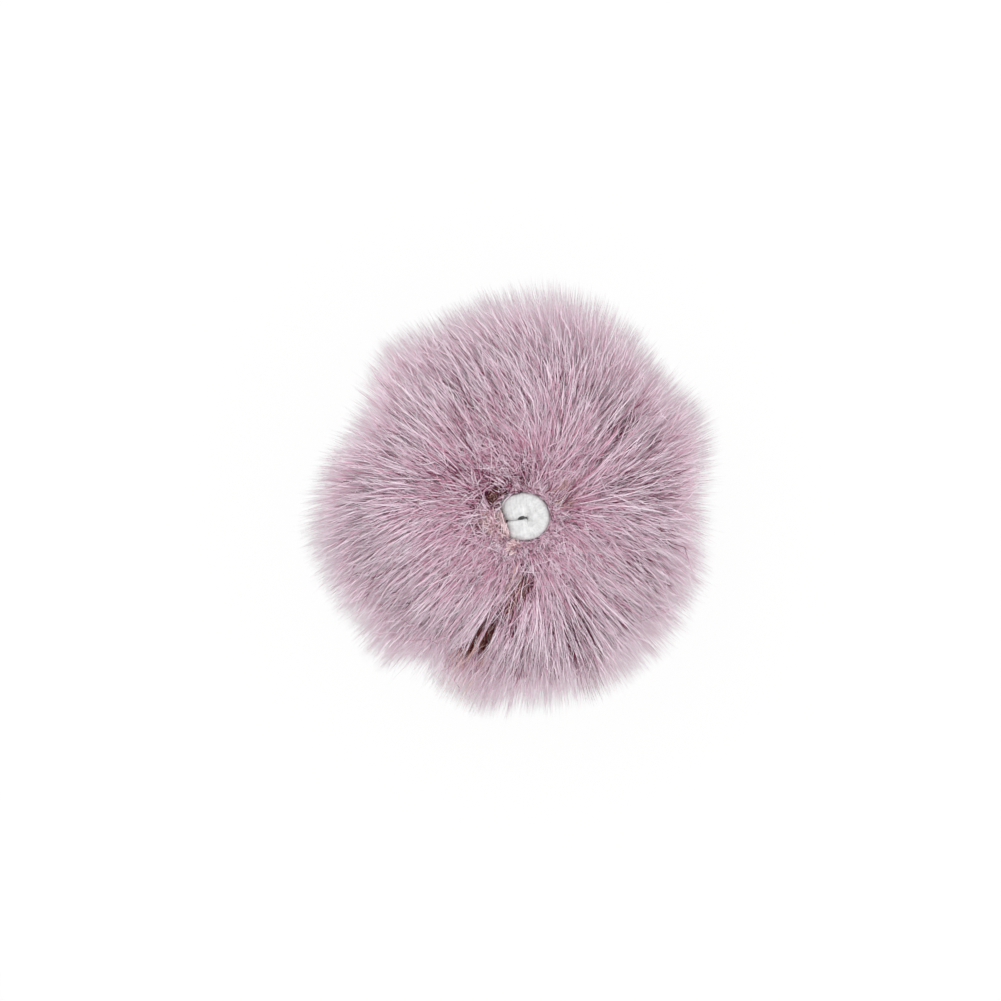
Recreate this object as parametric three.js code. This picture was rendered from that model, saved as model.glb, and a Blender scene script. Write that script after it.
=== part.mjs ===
// A pompom of long-pile faux fur, lying on its crown with its gather and its elastic loop upwards.
// Millimetres, +Z up. The origin is on the ground under the middle of the ball.
import * as THREE from "three";

// Driving dimensions.
const BALL_RADIUS = 34.6; // from the middle to the tips of the pile at the widest place
const BALL_SHIFT_X = 0.5; // the gaps in the pile are uneven, so the ball's middle lies off the origin
const BALL_SHIFT_Y = -0.2;

const ELASTIC_RADIUS = 1.85;
const LOOP_HEIGHT = 45; // centre line of the ring over the ground
const LOOP_X = -0.15; // middle between the legs
const LOOP_Y = -3.35;
const LOOP_TURN = THREE.MathUtils.degToRad(9);
const LEG_HALF_GAP = 1.9; // from the middle of the loop to the centre line of a leg
const LEG_DEPTH = 11; // how far the legs reach down from the ring
const RING_RADIUS = 2.2; // centre line of the ring
const RING_REACH = 2.4; // from the legs to the middle of the ring
const BEND = 2.4; // radius in which the legs turn from level to upright

const WELL_CLEARANCE = 0.3;
const WELL_HALF_X = 2.45 + WELL_CLEARANCE; // the well in the gather holds both legs
const WELL_HALF_Y = 3.95 + WELL_CLEARANCE;
const WELL_FLOOR = LOOP_HEIGHT - LEG_DEPTH - WELL_CLEARANCE;
const COLLAR_WALL = 1; // thickness of the drawn-up raw edge of the cloth
const PLEATS = 9;
const PLEAT_DEPTH = 0.1; // as a share of the collar's radius

const AROUND = 72; // faces round the ball
const STEPS_PER_SECTION = 2; // rows of faces between two sections of the ball
const LOOP_STEPS = 56;
const LOOP_SIDES = 8;

// Where the pile stands out in a tuft or parts in a gap. The azimuth and the half width are in degrees,
// and the reach is in millimetres.
const TUFTS = [
  { azimuth: 25, width: 9, reach: 1.0 },
  { azimuth: 42, width: 7, reach: -1.3 },
  { azimuth: 72, width: 20, reach: 0.7 },
  { azimuth: 112, width: 12, reach: -1.6 },
  { azimuth: 153, width: 14, reach: -4.4 },
  { azimuth: 195, width: 12, reach: 0.5 },
  { azimuth: 229, width: 5, reach: 1.0 },
  { azimuth: 240, width: 5, reach: -2.6 },
  { azimuth: 312, width: 25, reach: 1.3 },
  { azimuth: 355, width: 10, reach: -2.4 },
];

// Locks of hair ripple the ball. They are of uneven width, and lean a little round it.
const LOCKS = 17;
const LOCK_DEPTH = 0.7;
const LOCK_UNEVENNESS = 1.6; // radians that a lock is moved round by its neighbours
const LOCK_LEAN = 0.06; // radians for each millimetre of height

// Sections of the ball from the foot to the dimple: height, and radius as a share of BALL_RADIUS.
// tufts says how much of the tufts' reach a section shows, and gather how far its middle is drawn from
// the middle of the ball towards the loop.
const BALL_SECTIONS = [
  { height: 0, radius: 0.376, tufts: 0, gather: 0 },
  { height: 1.6, radius: 0.55, tufts: 0.3, gather: 0 },
  { height: 5.2, radius: 0.74, tufts: 0.5, gather: 0 },
  { height: 10.6, radius: 0.89, tufts: 0.8, gather: 0 },
  { height: 17.2, radius: 0.972, tufts: 1, gather: 0 },
  { height: 24.4, radius: 1, tufts: 1, gather: 0 },
  { height: 31.2, radius: 0.965, tufts: 0.95, gather: 0.05 },
  { height: 37.2, radius: 0.87, tufts: 0.8, gather: 0.15 },
  { height: 41.8, radius: 0.735, tufts: 0.6, gather: 0.3 },
  { height: 44.7, radius: 0.57, tufts: 0.4, gather: 0.5 },
  { height: 46.1, radius: 0.4, tufts: 0.2, gather: 0.8 },
  { height: 45.4, radius: 0.27, tufts: 0, gather: 1 },
  { height: 42.6, radius: 0.2, tufts: 0, gather: 1 },
];

// Rims of the collar and its well, from the dimple's floor inwards: height, how far outside the well's
// wall the rim runs, and how much of the pleats it shows. rise lifts the side away from the ring.
const COLLAR_SECTIONS = [
  { height: 39.4, outside: COLLAR_WALL + 1.1, pleats: 0, rise: 0 },
  { height: 38.6, outside: COLLAR_WALL, pleats: 0.4, rise: 0 },
  { height: 40.6, outside: COLLAR_WALL, pleats: 1, rise: 0.9 },
  { height: 42.2, outside: COLLAR_WALL * 1.1, pleats: 1.3, rise: 2.0 },
  { height: 42.2, outside: 0, pleats: 0, rise: 2.0 },
  { height: 40.4, outside: 0, pleats: 0, rise: 0 },
  { height: WELL_FLOOR, outside: 0, pleats: 0, rise: 0 },
];

/** How far the tufts and gaps move the pile's tips out at an azimuth in degrees. */
function tuftReach(azimuth) {
  let reach = 0;
  for (const tuft of TUFTS) {
    const away = THREE.MathUtils.euclideanModulo(azimuth - tuft.azimuth + 180, 360) - 180;
    reach += tuft.reach * Math.exp(-((away / tuft.width) ** 2));
  }
  return reach;
}

/** The ball's sections with rows eased in between them, so that the outline is round. */
function easedSections() {
  const points = BALL_SECTIONS.map((row) => new THREE.Vector3(row.radius * BALL_RADIUS, row.height, 0));
  const outline = new THREE.CatmullRomCurve3(points);
  const last = BALL_SECTIONS.length - 1;
  const rows = [];
  for (let step = 0; step <= last * STEPS_PER_SECTION; step += 1) {
    const place = step / STEPS_PER_SECTION;
    const lower = BALL_SECTIONS[Math.floor(place)];
    const upper = BALL_SECTIONS[Math.ceil(place)];
    const share = place - Math.floor(place);
    const { x, y } = outline.getPoint(place / last);
    rows.push({
      radius: x,
      height: y,
      tufts: THREE.MathUtils.lerp(lower.tufts, upper.tufts, share),
      gather: THREE.MathUtils.lerp(lower.gather, upper.gather, share),
    });
  }
  return rows;
}

/** One ring of points round the ball, at a section of the pile. */
function pileRing(row) {
  const ring = [];
  for (let i = 0; i < AROUND; i += 1) {
    const angle = (i / AROUND) * 2 * Math.PI;
    const sway = LOCK_UNEVENNESS * Math.sin(3 * angle) + LOCK_LEAN * row.height;
    const lock = LOCK_DEPTH * Math.cos(LOCKS * angle + sway);
    const radius = row.radius + row.tufts * (tuftReach(THREE.MathUtils.radToDeg(angle)) + lock);
    ring.push(new THREE.Vector3(
      THREE.MathUtils.lerp(BALL_SHIFT_X, LOOP_X, row.gather) + radius * Math.cos(angle),
      THREE.MathUtils.lerp(BALL_SHIFT_Y, LOOP_Y, row.gather) + radius * Math.sin(angle),
      row.height,
    ));
  }
  return ring;
}

/** One ring of points round the loop's legs, at a rim of the collar or of its well. */
function collarRing(row) {
  const ring = [];
  const middle = new THREE.Vector3(LOOP_X, LOOP_Y, 0);
  const up = new THREE.Vector3(0, 0, 1);
  for (let i = 0; i < AROUND; i += 1) {
    const angle = (i / AROUND) * 2 * Math.PI;
    const pleat = 1 + row.pleats * PLEAT_DEPTH * Math.cos(PLEATS * angle);
    const away = (1 - Math.cos(angle)) / 2;
    const point = new THREE.Vector3(
      (WELL_HALF_X + row.outside) * pleat * Math.cos(angle),
      (WELL_HALF_Y + row.outside) * pleat * Math.sin(angle),
      row.height + row.rise * away,
    );
    ring.push(point.applyAxisAngle(up, LOOP_TURN).add(middle));
  }
  return ring;
}

/** A closed solid through rings of points, with a middle point closing the first and the last ring. */
function loft(rings) {
  const points = rings.flat();
  const middleOf = (ring) => ring.reduce((sum, p) => sum.add(p), new THREE.Vector3()).divideScalar(ring.length);
  const first = points.length;
  points.push(middleOf(rings[0]));
  points.push(middleOf(rings[rings.length - 1]));
  const faces = [];
  for (let i = 0; i < AROUND; i += 1) {
    const next = (i + 1) % AROUND;
    faces.push(first, next, i);
    for (let row = 0; row + 1 < rings.length; row += 1) {
      const low = row * AROUND;
      const high = low + AROUND;
      faces.push(low + i, low + next, high + next);
      faces.push(low + i, high + next, high + i);
    }
    const top = (rings.length - 1) * AROUND;
    faces.push(top + i, top + next, first + 1);
  }
  const geometry = new THREE.BufferGeometry().setFromPoints(points);
  geometry.setIndex(faces);
  geometry.computeVertexNormals();
  return geometry;
}

/** The drawn-up disc of fur cloth: its pile's outer form, dimple, pleated raw edge and well. */
function furBall() {
  const rings = easedSections().map(pileRing).concat(COLLAR_SECTIONS.map(collarRing));
  const fur = new THREE.MeshStandardMaterial({ color: 0xb99aa7, roughness: 0.8, metalness: 0 });
  const mesh = new THREE.Mesh(loft(rings), fur);
  mesh.name = "fur_ball";
  return mesh;
}

/** The centre line of the loop: a leg up, the ring, and the other leg down. */
function loopRoute() {
  const QUARTER = 0.5523; // how far a quarter circle's handles reach, as a share of its radius
  const route = new THREE.CurvePath();
  const point = (side, x, y, z) => new THREE.Vector3(x, side * y, z);
  const end = (side) => point(side, 0, LEG_HALF_GAP, -LEG_DEPTH);
  const legTop = (side) => point(side, 0, LEG_HALF_GAP, -BEND);
  const legHandle = (side) => point(side, 0, LEG_HALF_GAP, (QUARTER - 1) * BEND);
  const ringHandle = (side) => point(side, RING_REACH * (1 - QUARTER), RING_RADIUS, 0);
  const ringStart = (side) => point(side, RING_REACH, RING_RADIUS, 0);
  const sideHandle = (side) => point(side, RING_REACH + QUARTER * RING_RADIUS, RING_RADIUS, 0);
  const tipHandle = (side) => point(side, RING_REACH + RING_RADIUS, QUARTER * RING_RADIUS, 0);
  const tip = point(1, RING_REACH + RING_RADIUS, 0, 0);
  route.add(new THREE.LineCurve3(end(1), legTop(1)));
  route.add(new THREE.CubicBezierCurve3(legTop(1), legHandle(1), ringHandle(1), ringStart(1)));
  route.add(new THREE.CubicBezierCurve3(ringStart(1), sideHandle(1), tipHandle(1), tip));
  route.add(new THREE.CubicBezierCurve3(tip, tipHandle(-1), sideHandle(-1), ringStart(-1)));
  route.add(new THREE.CubicBezierCurve3(ringStart(-1), ringHandle(-1), legHandle(-1), legTop(-1)));
  route.add(new THREE.LineCurve3(legTop(-1), end(-1)));
  return route;
}

/** The elastic loop, lying flat with its legs down in the well. */
function elasticLoop() {
  const section = new THREE.Shape();
  for (let i = 0; i < LOOP_SIDES; i += 1) {
    const angle = (i / LOOP_SIDES) * 2 * Math.PI;
    const corner = [ELASTIC_RADIUS * Math.cos(angle), ELASTIC_RADIUS * Math.sin(angle)];
    if (i === 0) section.moveTo(...corner);
    else section.lineTo(...corner);
  }
  section.closePath();
  const tube = new THREE.ExtrudeGeometry(section, { steps: LOOP_STEPS, extrudePath: loopRoute() });
  const elastic = new THREE.MeshStandardMaterial({ color: 0xe8e8e8, roughness: 0.9, metalness: 0 });
  const mesh = new THREE.Mesh(tube, elastic);
  mesh.name = "elastic_loop";
  mesh.position.set(LOOP_X, LOOP_Y, LOOP_HEIGHT);
  mesh.rotation.z = LOOP_TURN;
  return mesh;
}

const pompom = new THREE.Group();
pompom.add(furBall());
pompom.add(elasticLoop());

export default pompom;
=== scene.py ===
"""A pompom of long-pile faux fur with a sewn elastic loop, lying on its crown.

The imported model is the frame. This script adds what shows: the pile as many fine hairs, the knitted
ground that they are rooted in with its gathered raw edge, the white elastic loop, a pale floor, soft
studio light and the camera. Sizes are in millimetres and meshes in metres.
"""

from __future__ import annotations

import logging
import math
from dataclasses import dataclass
from enum import Enum
from typing import ClassVar, Sequence, Union

import bmesh
import bpy
import numpy as np
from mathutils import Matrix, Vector

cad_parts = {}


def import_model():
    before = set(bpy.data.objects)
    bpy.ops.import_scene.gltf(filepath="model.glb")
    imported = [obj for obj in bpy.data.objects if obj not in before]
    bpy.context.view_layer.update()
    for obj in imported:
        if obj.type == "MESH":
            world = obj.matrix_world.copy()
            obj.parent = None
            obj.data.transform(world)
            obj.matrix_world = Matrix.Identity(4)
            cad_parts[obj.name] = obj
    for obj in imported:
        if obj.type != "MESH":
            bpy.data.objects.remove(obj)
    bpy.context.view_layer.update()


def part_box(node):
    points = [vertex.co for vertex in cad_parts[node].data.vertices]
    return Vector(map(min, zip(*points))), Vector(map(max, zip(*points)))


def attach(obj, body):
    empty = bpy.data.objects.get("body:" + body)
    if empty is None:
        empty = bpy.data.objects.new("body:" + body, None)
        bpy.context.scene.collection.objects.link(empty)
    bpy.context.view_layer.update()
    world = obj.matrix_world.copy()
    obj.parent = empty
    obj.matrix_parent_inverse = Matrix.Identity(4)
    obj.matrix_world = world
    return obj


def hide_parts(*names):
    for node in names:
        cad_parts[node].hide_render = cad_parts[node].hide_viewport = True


LOG = logging.getLogger("pompom")
MM = 0.001
TINY = 1e-9
TURN = 2 * math.pi
UP = np.array([0.0, 0.0, 1.0])
WHITE = (1.0, 1.0, 1.0)
HAIR_MAP = "OFBake"  # across the map: the hair's tone; up the map: from its root to its tip
CLOTH_MAP = "Knit"  # round the piece and along it, in millimetres

Colour = tuple[float, float, float]
Pair = tuple[float, float]
Array = np.ndarray
Chance = np.random.Generator
Number = Union[int, float]
Piece = bpy.types.Object
Material = bpy.types.Material


class Slot(Enum):
    """The record's material slots."""

    FUR = "fur"
    ELASTIC = "elastic"


# ---- small tools


def unit(vectors: Array) -> Array:
    """The vectors, each made one long."""
    return vectors / (np.linalg.norm(vectors, axis=-1, keepdims=True) + TINY)


def spokes(azimuth: Array) -> Array:
    """Flat directions straight out at azimuths in radians."""
    return np.stack([np.cos(azimuth), np.sin(azimuth)], axis=-1)


def eased(share: Array) -> Array:
    """Shares kept between 0 and 1, which start and end gently."""
    share = np.clip(share, 0, 1)
    return share * share * (3 - 2 * share)


def round_about(side: Array, lift: Array, sides: int) -> Array:
    """Directions all round a line.

    Args:
        side: directions across the line, one for each place on it.
        lift: directions across both.
        sides: how many directions are wanted at each place.

    Returns:
        A row of directions for each place.
    """
    angle = np.arange(sides) / sides * TURN
    return np.cos(angle)[None, :, None] * side[:, None] + np.sin(angle)[None, :, None] * lift[:, None]


def add_object(name: str, data: bpy.types.ID) -> bpy.types.Object:
    """Puts a mesh, a lamp or a camera into the scene as an object.

    Args:
        name: the object's name.
        data: what it is made of.

    Returns:
        The object.
    """
    made = bpy.data.objects.new(name, data)
    bpy.context.collection.objects.link(made)
    return made


def hand_over(piece: Piece, material: Material, node: str, slot: Slot) -> None:
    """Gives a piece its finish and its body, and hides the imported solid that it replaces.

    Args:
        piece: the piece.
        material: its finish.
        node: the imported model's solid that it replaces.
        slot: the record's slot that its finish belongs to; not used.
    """
    piece.data.materials.append(material)
    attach(piece, "root")
    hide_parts(node)


class Skin:
    """A mesh of closed tubes and open pouches, each raised ring by ring from a circle."""

    def __init__(self, name: str, map_name: str) -> None:
        """Starts an empty mesh.

        Args:
            name: the piece's name.
            map_name: its map's name.
        """
        self.name = name
        self.mesh = bmesh.new()
        self.layer = self.mesh.loops.layers.uv.new(map_name)

    def add(self, rings: Sequence[Array], across: Array, up: Sequence[float], closed: bool = True) -> None:
        """Raises one tube through rings of points.

        Args:
            rings: the rings from one end to the other, in millimetres.
            across: the map's place of each point round a ring, and once more of the first point.
            up: the map's place of each ring.
            closed: whether the last ring gets a cap, as the first always does.
        """
        sides = len(rings[0])
        ring = bmesh.ops.create_circle(self.mesh, cap_ends=True, segments=sides, radius=1)["verts"]
        number = {}
        for row, points in enumerate(rings):
            ring = self._raised(ring) if row else ring
            for column, (vert, point) in enumerate(zip(ring, points)):
                vert.co = Vector(point * MM)
                number[vert] = (column, row)
        if closed:
            self.mesh.faces.new(ring)
        for face in {face for vert in number for face in vert.link_faces}:
            columns = [number[loop.vert][0] for loop in face.loops]
            wraps = max(columns) - min(columns) > sides / 2
            for loop in face.loops:
                column, row = number[loop.vert]
                column += sides if wraps and column < sides / 2 else 0
                loop[self.layer].uv = (across[min(column, sides)], up[row])

    @staticmethod
    def _raised_edges(ring: Sequence[bmesh.types.BMVert]) -> list[bmesh.types.BMEdge]:
        """The edges of a ring, in order."""
        pairs = zip(ring, [*ring[1:], ring[0]])
        return [next(e for e in vert.link_edges if e.other_vert(vert) == after) for vert, after in pairs]

    def _raised(self, ring: Sequence[bmesh.types.BMVert]) -> list[bmesh.types.BMVert]:
        """Extrudes a ring's edges.

        Args:
            ring: the ring's points, in order.

        Returns:
            The new ring's points, in the same order.
        """
        made = bmesh.ops.extrude_edge_only(self.mesh, edges=self._raised_edges(ring))["geom"]
        fresh = {part for part in made if isinstance(part, bmesh.types.BMVert)}
        twins = []
        for vert in ring:
            ends = (edge.other_vert(vert) for edge in vert.link_edges)
            twins.append(next(end for end in ends if end in fresh))
        return twins

    def piece(self) -> Piece:
        """Makes the mesh a smooth piece whose faces point outwards.

        Returns:
            The piece.
        """
        bmesh.ops.recalc_face_normals(self.mesh, faces=self.mesh.faces)
        data = bpy.data.meshes.new(self.name)
        self.mesh.to_mesh(data)
        self.mesh.free()
        data.shade_smooth()
        LOG.info("%s: %d faces", self.name, len(data.polygons))
        return add_object(self.name, data)


# ---- shader maths


class Sock:
    """A node socket that can be used in Python expressions."""

    def __init__(self, tree: "ShaderTree", socket: bpy.types.NodeSocket) -> None:
        """Keeps the tree that new Math nodes go into, and the socket."""
        self.tree = tree
        self.socket = socket

    def _math(self, operation: str, *values: Union["Sock", Number]) -> "Sock":
        """Adds one Math node on these values."""
        inputs = {index: value for index, value in enumerate(values)}
        return self.tree.add("ShaderNodeMath", {"operation": operation}, inputs)

    def __add__(self, other: Union["Sock", Number]) -> "Sock":
        """The sum."""
        return self._math("ADD", self, other)

    __radd__ = __add__

    def __mul__(self, other: Union["Sock", Number]) -> "Sock":
        """The product."""
        return self._math("MULTIPLY", self, other)

    __rmul__ = __mul__

    def __sub__(self, other: Union["Sock", Number]) -> "Sock":
        """The difference."""
        return self._math("SUBTRACT", self, other)

    def __rsub__(self, other: Number) -> "Sock":
        """The difference, with the socket on the right."""
        return self._math("SUBTRACT", other, self)

    def __gt__(self, other: Number) -> "Sock":
        """1 where the value is over other, and 0 elsewhere."""
        return self._math("GREATER_THAN", self, other)

    def __lt__(self, other: Number) -> "Sock":
        """1 where the value is under other, and 0 elsewhere."""
        return self._math("LESS_THAN", self, other)

    def sine(self) -> "Sock":
        """The sine of the value, in radians."""
        return self._math("SINE", self)

    def absolute(self) -> "Sock":
        """The value without its sign."""
        return self._math("ABSOLUTE", self)


@dataclass
class ShaderTree:
    """A material's or a world's node tree, built from Python.

    Attributes:
        owner: the material or the world.
    """

    owner: Union[Material, bpy.types.World]

    def __post_init__(self) -> None:
        """Empties the owner's tree."""
        self.owner.use_nodes = True
        self.owner.node_tree.nodes.clear()

    @staticmethod
    def of_material(name: str) -> "ShaderTree":
        """The empty tree of a new material."""
        return ShaderTree(bpy.data.materials.new(name))

    def node(
        self,
        kind: str,
        settings: dict[str, object] | None = None,
        inputs: dict[Union[str, int], object] | None = None,
    ) -> bpy.types.Node:
        """Adds one node.

        Args:
            kind: the node's type, such as ShaderNodeMath.
            settings: its settings; a ramp's stops go under "stops" as (place, colour) pairs.
            inputs: values or sockets for its inputs, by name or number.

        Returns:
            The node.
        """
        tree = self.owner.node_tree
        node = tree.nodes.new(kind)
        for key, value in (settings or {}).items():
            if key == "stops":
                self._set_stops(node, value)
            else:
                setattr(node, key, value)
        for key, value in (inputs or {}).items():
            if isinstance(value, Sock):
                tree.links.new(value.socket, node.inputs[key])
            elif isinstance(value, tuple) and len(node.inputs[key].default_value) == 4:
                node.inputs[key].default_value = (*value, 1.0)
            else:
                node.inputs[key].default_value = value
        return node

    @staticmethod
    def _set_stops(node: bpy.types.Node, stops: Sequence[tuple[float, Colour]]) -> None:
        """Gives a ColorRamp node its stops.

        Args:
            node: the node.
            stops: the stops, as (place, colour) pairs.
        """
        elements = node.color_ramp.elements
        while len(elements) < len(stops):
            elements.new(0.5)
        for element, (place, colour) in zip(elements, stops):
            element.position = place
            element.color = (*colour, 1.0)

    def add(
        self,
        kind: str,
        settings: dict[str, object] | None = None,
        inputs: dict[Union[str, int], object] | None = None,
        output: Union[str, int] = 0,
    ) -> Sock:
        """Adds one node, as node() does, and returns the output that is wanted."""
        return Sock(self, self.node(kind, settings, inputs).outputs[output])

    def laid_on(self, map_name: str) -> tuple[Sock, Sock]:
        """Where a point lies on one of the piece's maps.

        Args:
            map_name: the map's name.

        Returns:
            How far across the map, and how far up it.
        """
        uv = self.add("ShaderNodeUVMap", {"uv_map": map_name})
        outputs = self.node("ShaderNodeSeparateXYZ", inputs={0: uv}).outputs
        return Sock(self, outputs[0]), Sock(self, outputs[1])

    def noise(self, scale: float, detail: float) -> Sock:
        """Even noise through the piece's own space."""
        place = self.add("ShaderNodeTexCoord", output="Object")
        return self.add("ShaderNodeTexNoise", inputs={"Vector": place, "Scale": scale, "Detail": detail})

    def bump(self, height: Sock, depth: float) -> Sock:
        """A surface's directions with height's bumps on it, depth metres deep."""
        return self.add("ShaderNodeBump", inputs={"Height": height, "Distance": depth})

    def ramp(self, factor: Sock, stops: Sequence[tuple[float, Colour]]) -> Sock:
        """A colour from stops, at the place that factor gives."""
        return self.add("ShaderNodeValToRGB", {"stops": stops}, {"Fac": factor})

    def blend(self, factor: Union[Sock, Number], first: object, second: object) -> Sock:
        """Blends two colours.

        Args:
            factor: 0 gives first and 1 gives second.
            first: a colour or a socket.
            second: a colour or a socket.

        Returns:
            The blended colour.
        """
        return self.add("ShaderNodeMix", {"data_type": "RGBA"}, {0: factor, 6: first, 7: second}, output=2)

    def surface(self, kind: str, shader: Sock) -> None:
        """Ends the tree with an output node of this type, with shader as its surface."""
        self.node(kind, inputs={"Surface": shader})

    def principled(self, inputs: dict[str, object]) -> Material:
        """Makes a Principled shader with these inputs the surface, and returns the material."""
        self.surface("ShaderNodeOutputMaterial", self.add("ShaderNodeBsdfPrincipled", inputs=inputs))
        return self.owner


# ---- finishes


@dataclass(frozen=True)
class FurFinish:
    """Acrylic pile, mauve along the shaft and pale at the tip, with painted shade in plum at the root.

    Every ramp darkens from the tip to the root, as painted shade of the pile's depth. A hair's tone
    runs from 0 to 1 across its map. The lowest tones are brown hairs laid down in the partings as
    painted shade, then come hairs that the ground's dye has stained and plum ones that paint the shade
    between the locks, and the highest are pale stray hairs.
    """

    name: str = "fur_pile"
    deep: tuple[tuple[float, Colour], ...] = (
        (0.0, (0.080, 0.009, 0.024)),
        (0.35, (0.275, 0.046, 0.105)),
        (0.70, (0.640, 0.205, 0.335)),
        (1.0, (0.930, 0.620, 0.745)),
    )
    pale: tuple[tuple[float, Colour], ...] = (
        (0.0, (0.180, 0.050, 0.085)),
        (0.35, (0.735, 0.415, 0.555)),
        (0.70, (0.925, 0.755, 0.862)),
        (1.0, (0.970, 0.890, 0.944)),
    )
    # painted shade: the brown of the hairs laid down in the partings' gaps
    umber: tuple[tuple[float, Colour], ...] = (
        (0.0, (0.085, 0.006, 0.008)),
        (0.6, (0.200, 0.030, 0.030)),
        (1.0, (0.400, 0.260, 0.200)),
    )
    salmon: tuple[tuple[float, Colour], ...] = (
        (0.0, (0.260, 0.100, 0.085)),
        (0.5, (0.620, 0.360, 0.340)),
        (1.0, (0.860, 0.660, 0.640)),
    )
    # painted shade: the plum of dark hairs that show in the gaps between the locks
    plum: Colour = (0.190, 0.032, 0.076)
    frosted: tuple[tuple[float, Colour], ...] = (
        (0.0, (0.720, 0.380, 0.505)),
        (0.40, (0.960, 0.790, 0.880)),
        (1.0, (0.985, 0.890, 0.944)),
    )
    roughness: float = 0.5
    specular: float = 0.10
    gleam: Colour = (1.0, 0.700, 0.840)
    sheen: float = 0.06

    umber_shade_below: ClassVar[float] = 0.03
    salmon_below: ClassVar[float] = 0.06
    plum_shade_below: ClassVar[float] = 0.09
    frosted_above: ClassVar[float] = 0.95

    def material(self) -> Material:
        """Makes the pile's material.

        Returns:
            The material.
        """
        tree = ShaderTree.of_material(self.name)
        tone, along = tree.laid_on(HAIR_MAP)
        # painted shade: each ramp darkens along the hair from its tip to its root
        colour = tree.blend(tone, tree.ramp(along, self.deep), tree.ramp(along, self.pale))
        # plum and umber hairs are painted shade; salmon ones are stained by the ground's dye
        colour = tree.blend(tone < self.plum_shade_below, colour, self.plum)
        colour = tree.blend(tone < self.salmon_below, colour, tree.ramp(along, self.salmon))
        colour = tree.blend(tone < self.umber_shade_below, colour, tree.ramp(along, self.umber))
        colour = tree.blend(tone > self.frosted_above, colour, tree.ramp(along, self.frosted))
        return tree.principled(
            {
                "Base Color": colour,
                "Roughness": self.roughness,
                "Specular IOR Level": self.specular,
                "Specular Tint": self.gleam,
                "Sheen Weight": self.sheen,
                "Sheen Tint": self.gleam,
            }
        )


@dataclass(frozen=True)
class KnitFinish:
    """The pile's knitted ground: salmon-pink yarn in rows of stitches.

    Attributes:
        yarn: the yarn's colour.
        shade: its colour between the stitches, painted shade.
        stitch: width of a stitch, in millimetres.
        row: height of a row of stitches, in millimetres.
        slant: how far the rows follow the stitches up and down.
        relief: how much the rows and the stitches rise.
        fuzz: how finely the yarn's fuzz is spread, and in how much detail.
        fuzz_tone: how much the fuzz changes the colour.
        fuzz_relief: how much it rises.
        contrast: how fast the colour follows the height, darkening to the painted shade low in the relief.
        depth: depth of the whole relief, in metres.
    """

    name: str = "knitted_ground"
    yarn: Colour = (0.560, 0.370, 0.395)
    shade: Colour = (0.270, 0.140, 0.145)
    stitch: float = 0.9
    row: float = 0.7
    slant: float = 1.2
    relief: Pair = (0.7, 0.3)
    fuzz: Pair = (2500.0, 3.0)
    fuzz_tone: float = 0.3
    fuzz_relief: float = 0.4
    contrast: float = 0.8
    depth: float = 0.0002
    roughness: float = 0.9
    sheen: float = 0.3

    def material(self) -> Material:
        """Makes the ground's material.

        Returns:
            The material.
        """
        tree = ShaderTree.of_material(self.name)
        across, along = tree.laid_on(CLOTH_MAP)
        wale = (across * (TURN / self.stitch)).sine()
        course = (along * (TURN / self.row) + wale * self.slant).sine()
        height = (course * 0.5 + 0.5) * self.relief[0] + wale.absolute() * self.relief[1]
        fuzz = tree.noise(*self.fuzz)
        # painted shade: the yarn darkens where the relief is low, between the stitches
        colour = tree.blend(height * self.contrast + fuzz * self.fuzz_tone, self.shade, self.yarn)
        bump = tree.bump(height + fuzz * self.fuzz_relief, self.depth)
        return tree.principled(
            {"Base Color": colour, "Roughness": self.roughness, "Normal": bump, "Sheen Weight": self.sheen}
        )


@dataclass(frozen=True)
class YarnFinish:
    """Frayed ends of the ground's yarn: pale salmon, with paler turns."""

    name: str = "frayed_yarn"
    yarn: Colour = (0.560, 0.320, 0.350)
    paler: Colour = (0.960, 0.800, 0.820)
    roughness: float = 0.7
    specular: float = 0.3

    def material(self) -> Material:
        """Makes the frayed yarn's material.

        Returns:
            The material.
        """
        tree = ShaderTree.of_material(self.name)
        tone, _ = tree.laid_on(HAIR_MAP)
        colour = tree.blend(tone, self.yarn, self.paler)
        return tree.principled(
            {"Base Color": colour, "Roughness": self.roughness, "Specular IOR Level": self.specular}
        )


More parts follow.
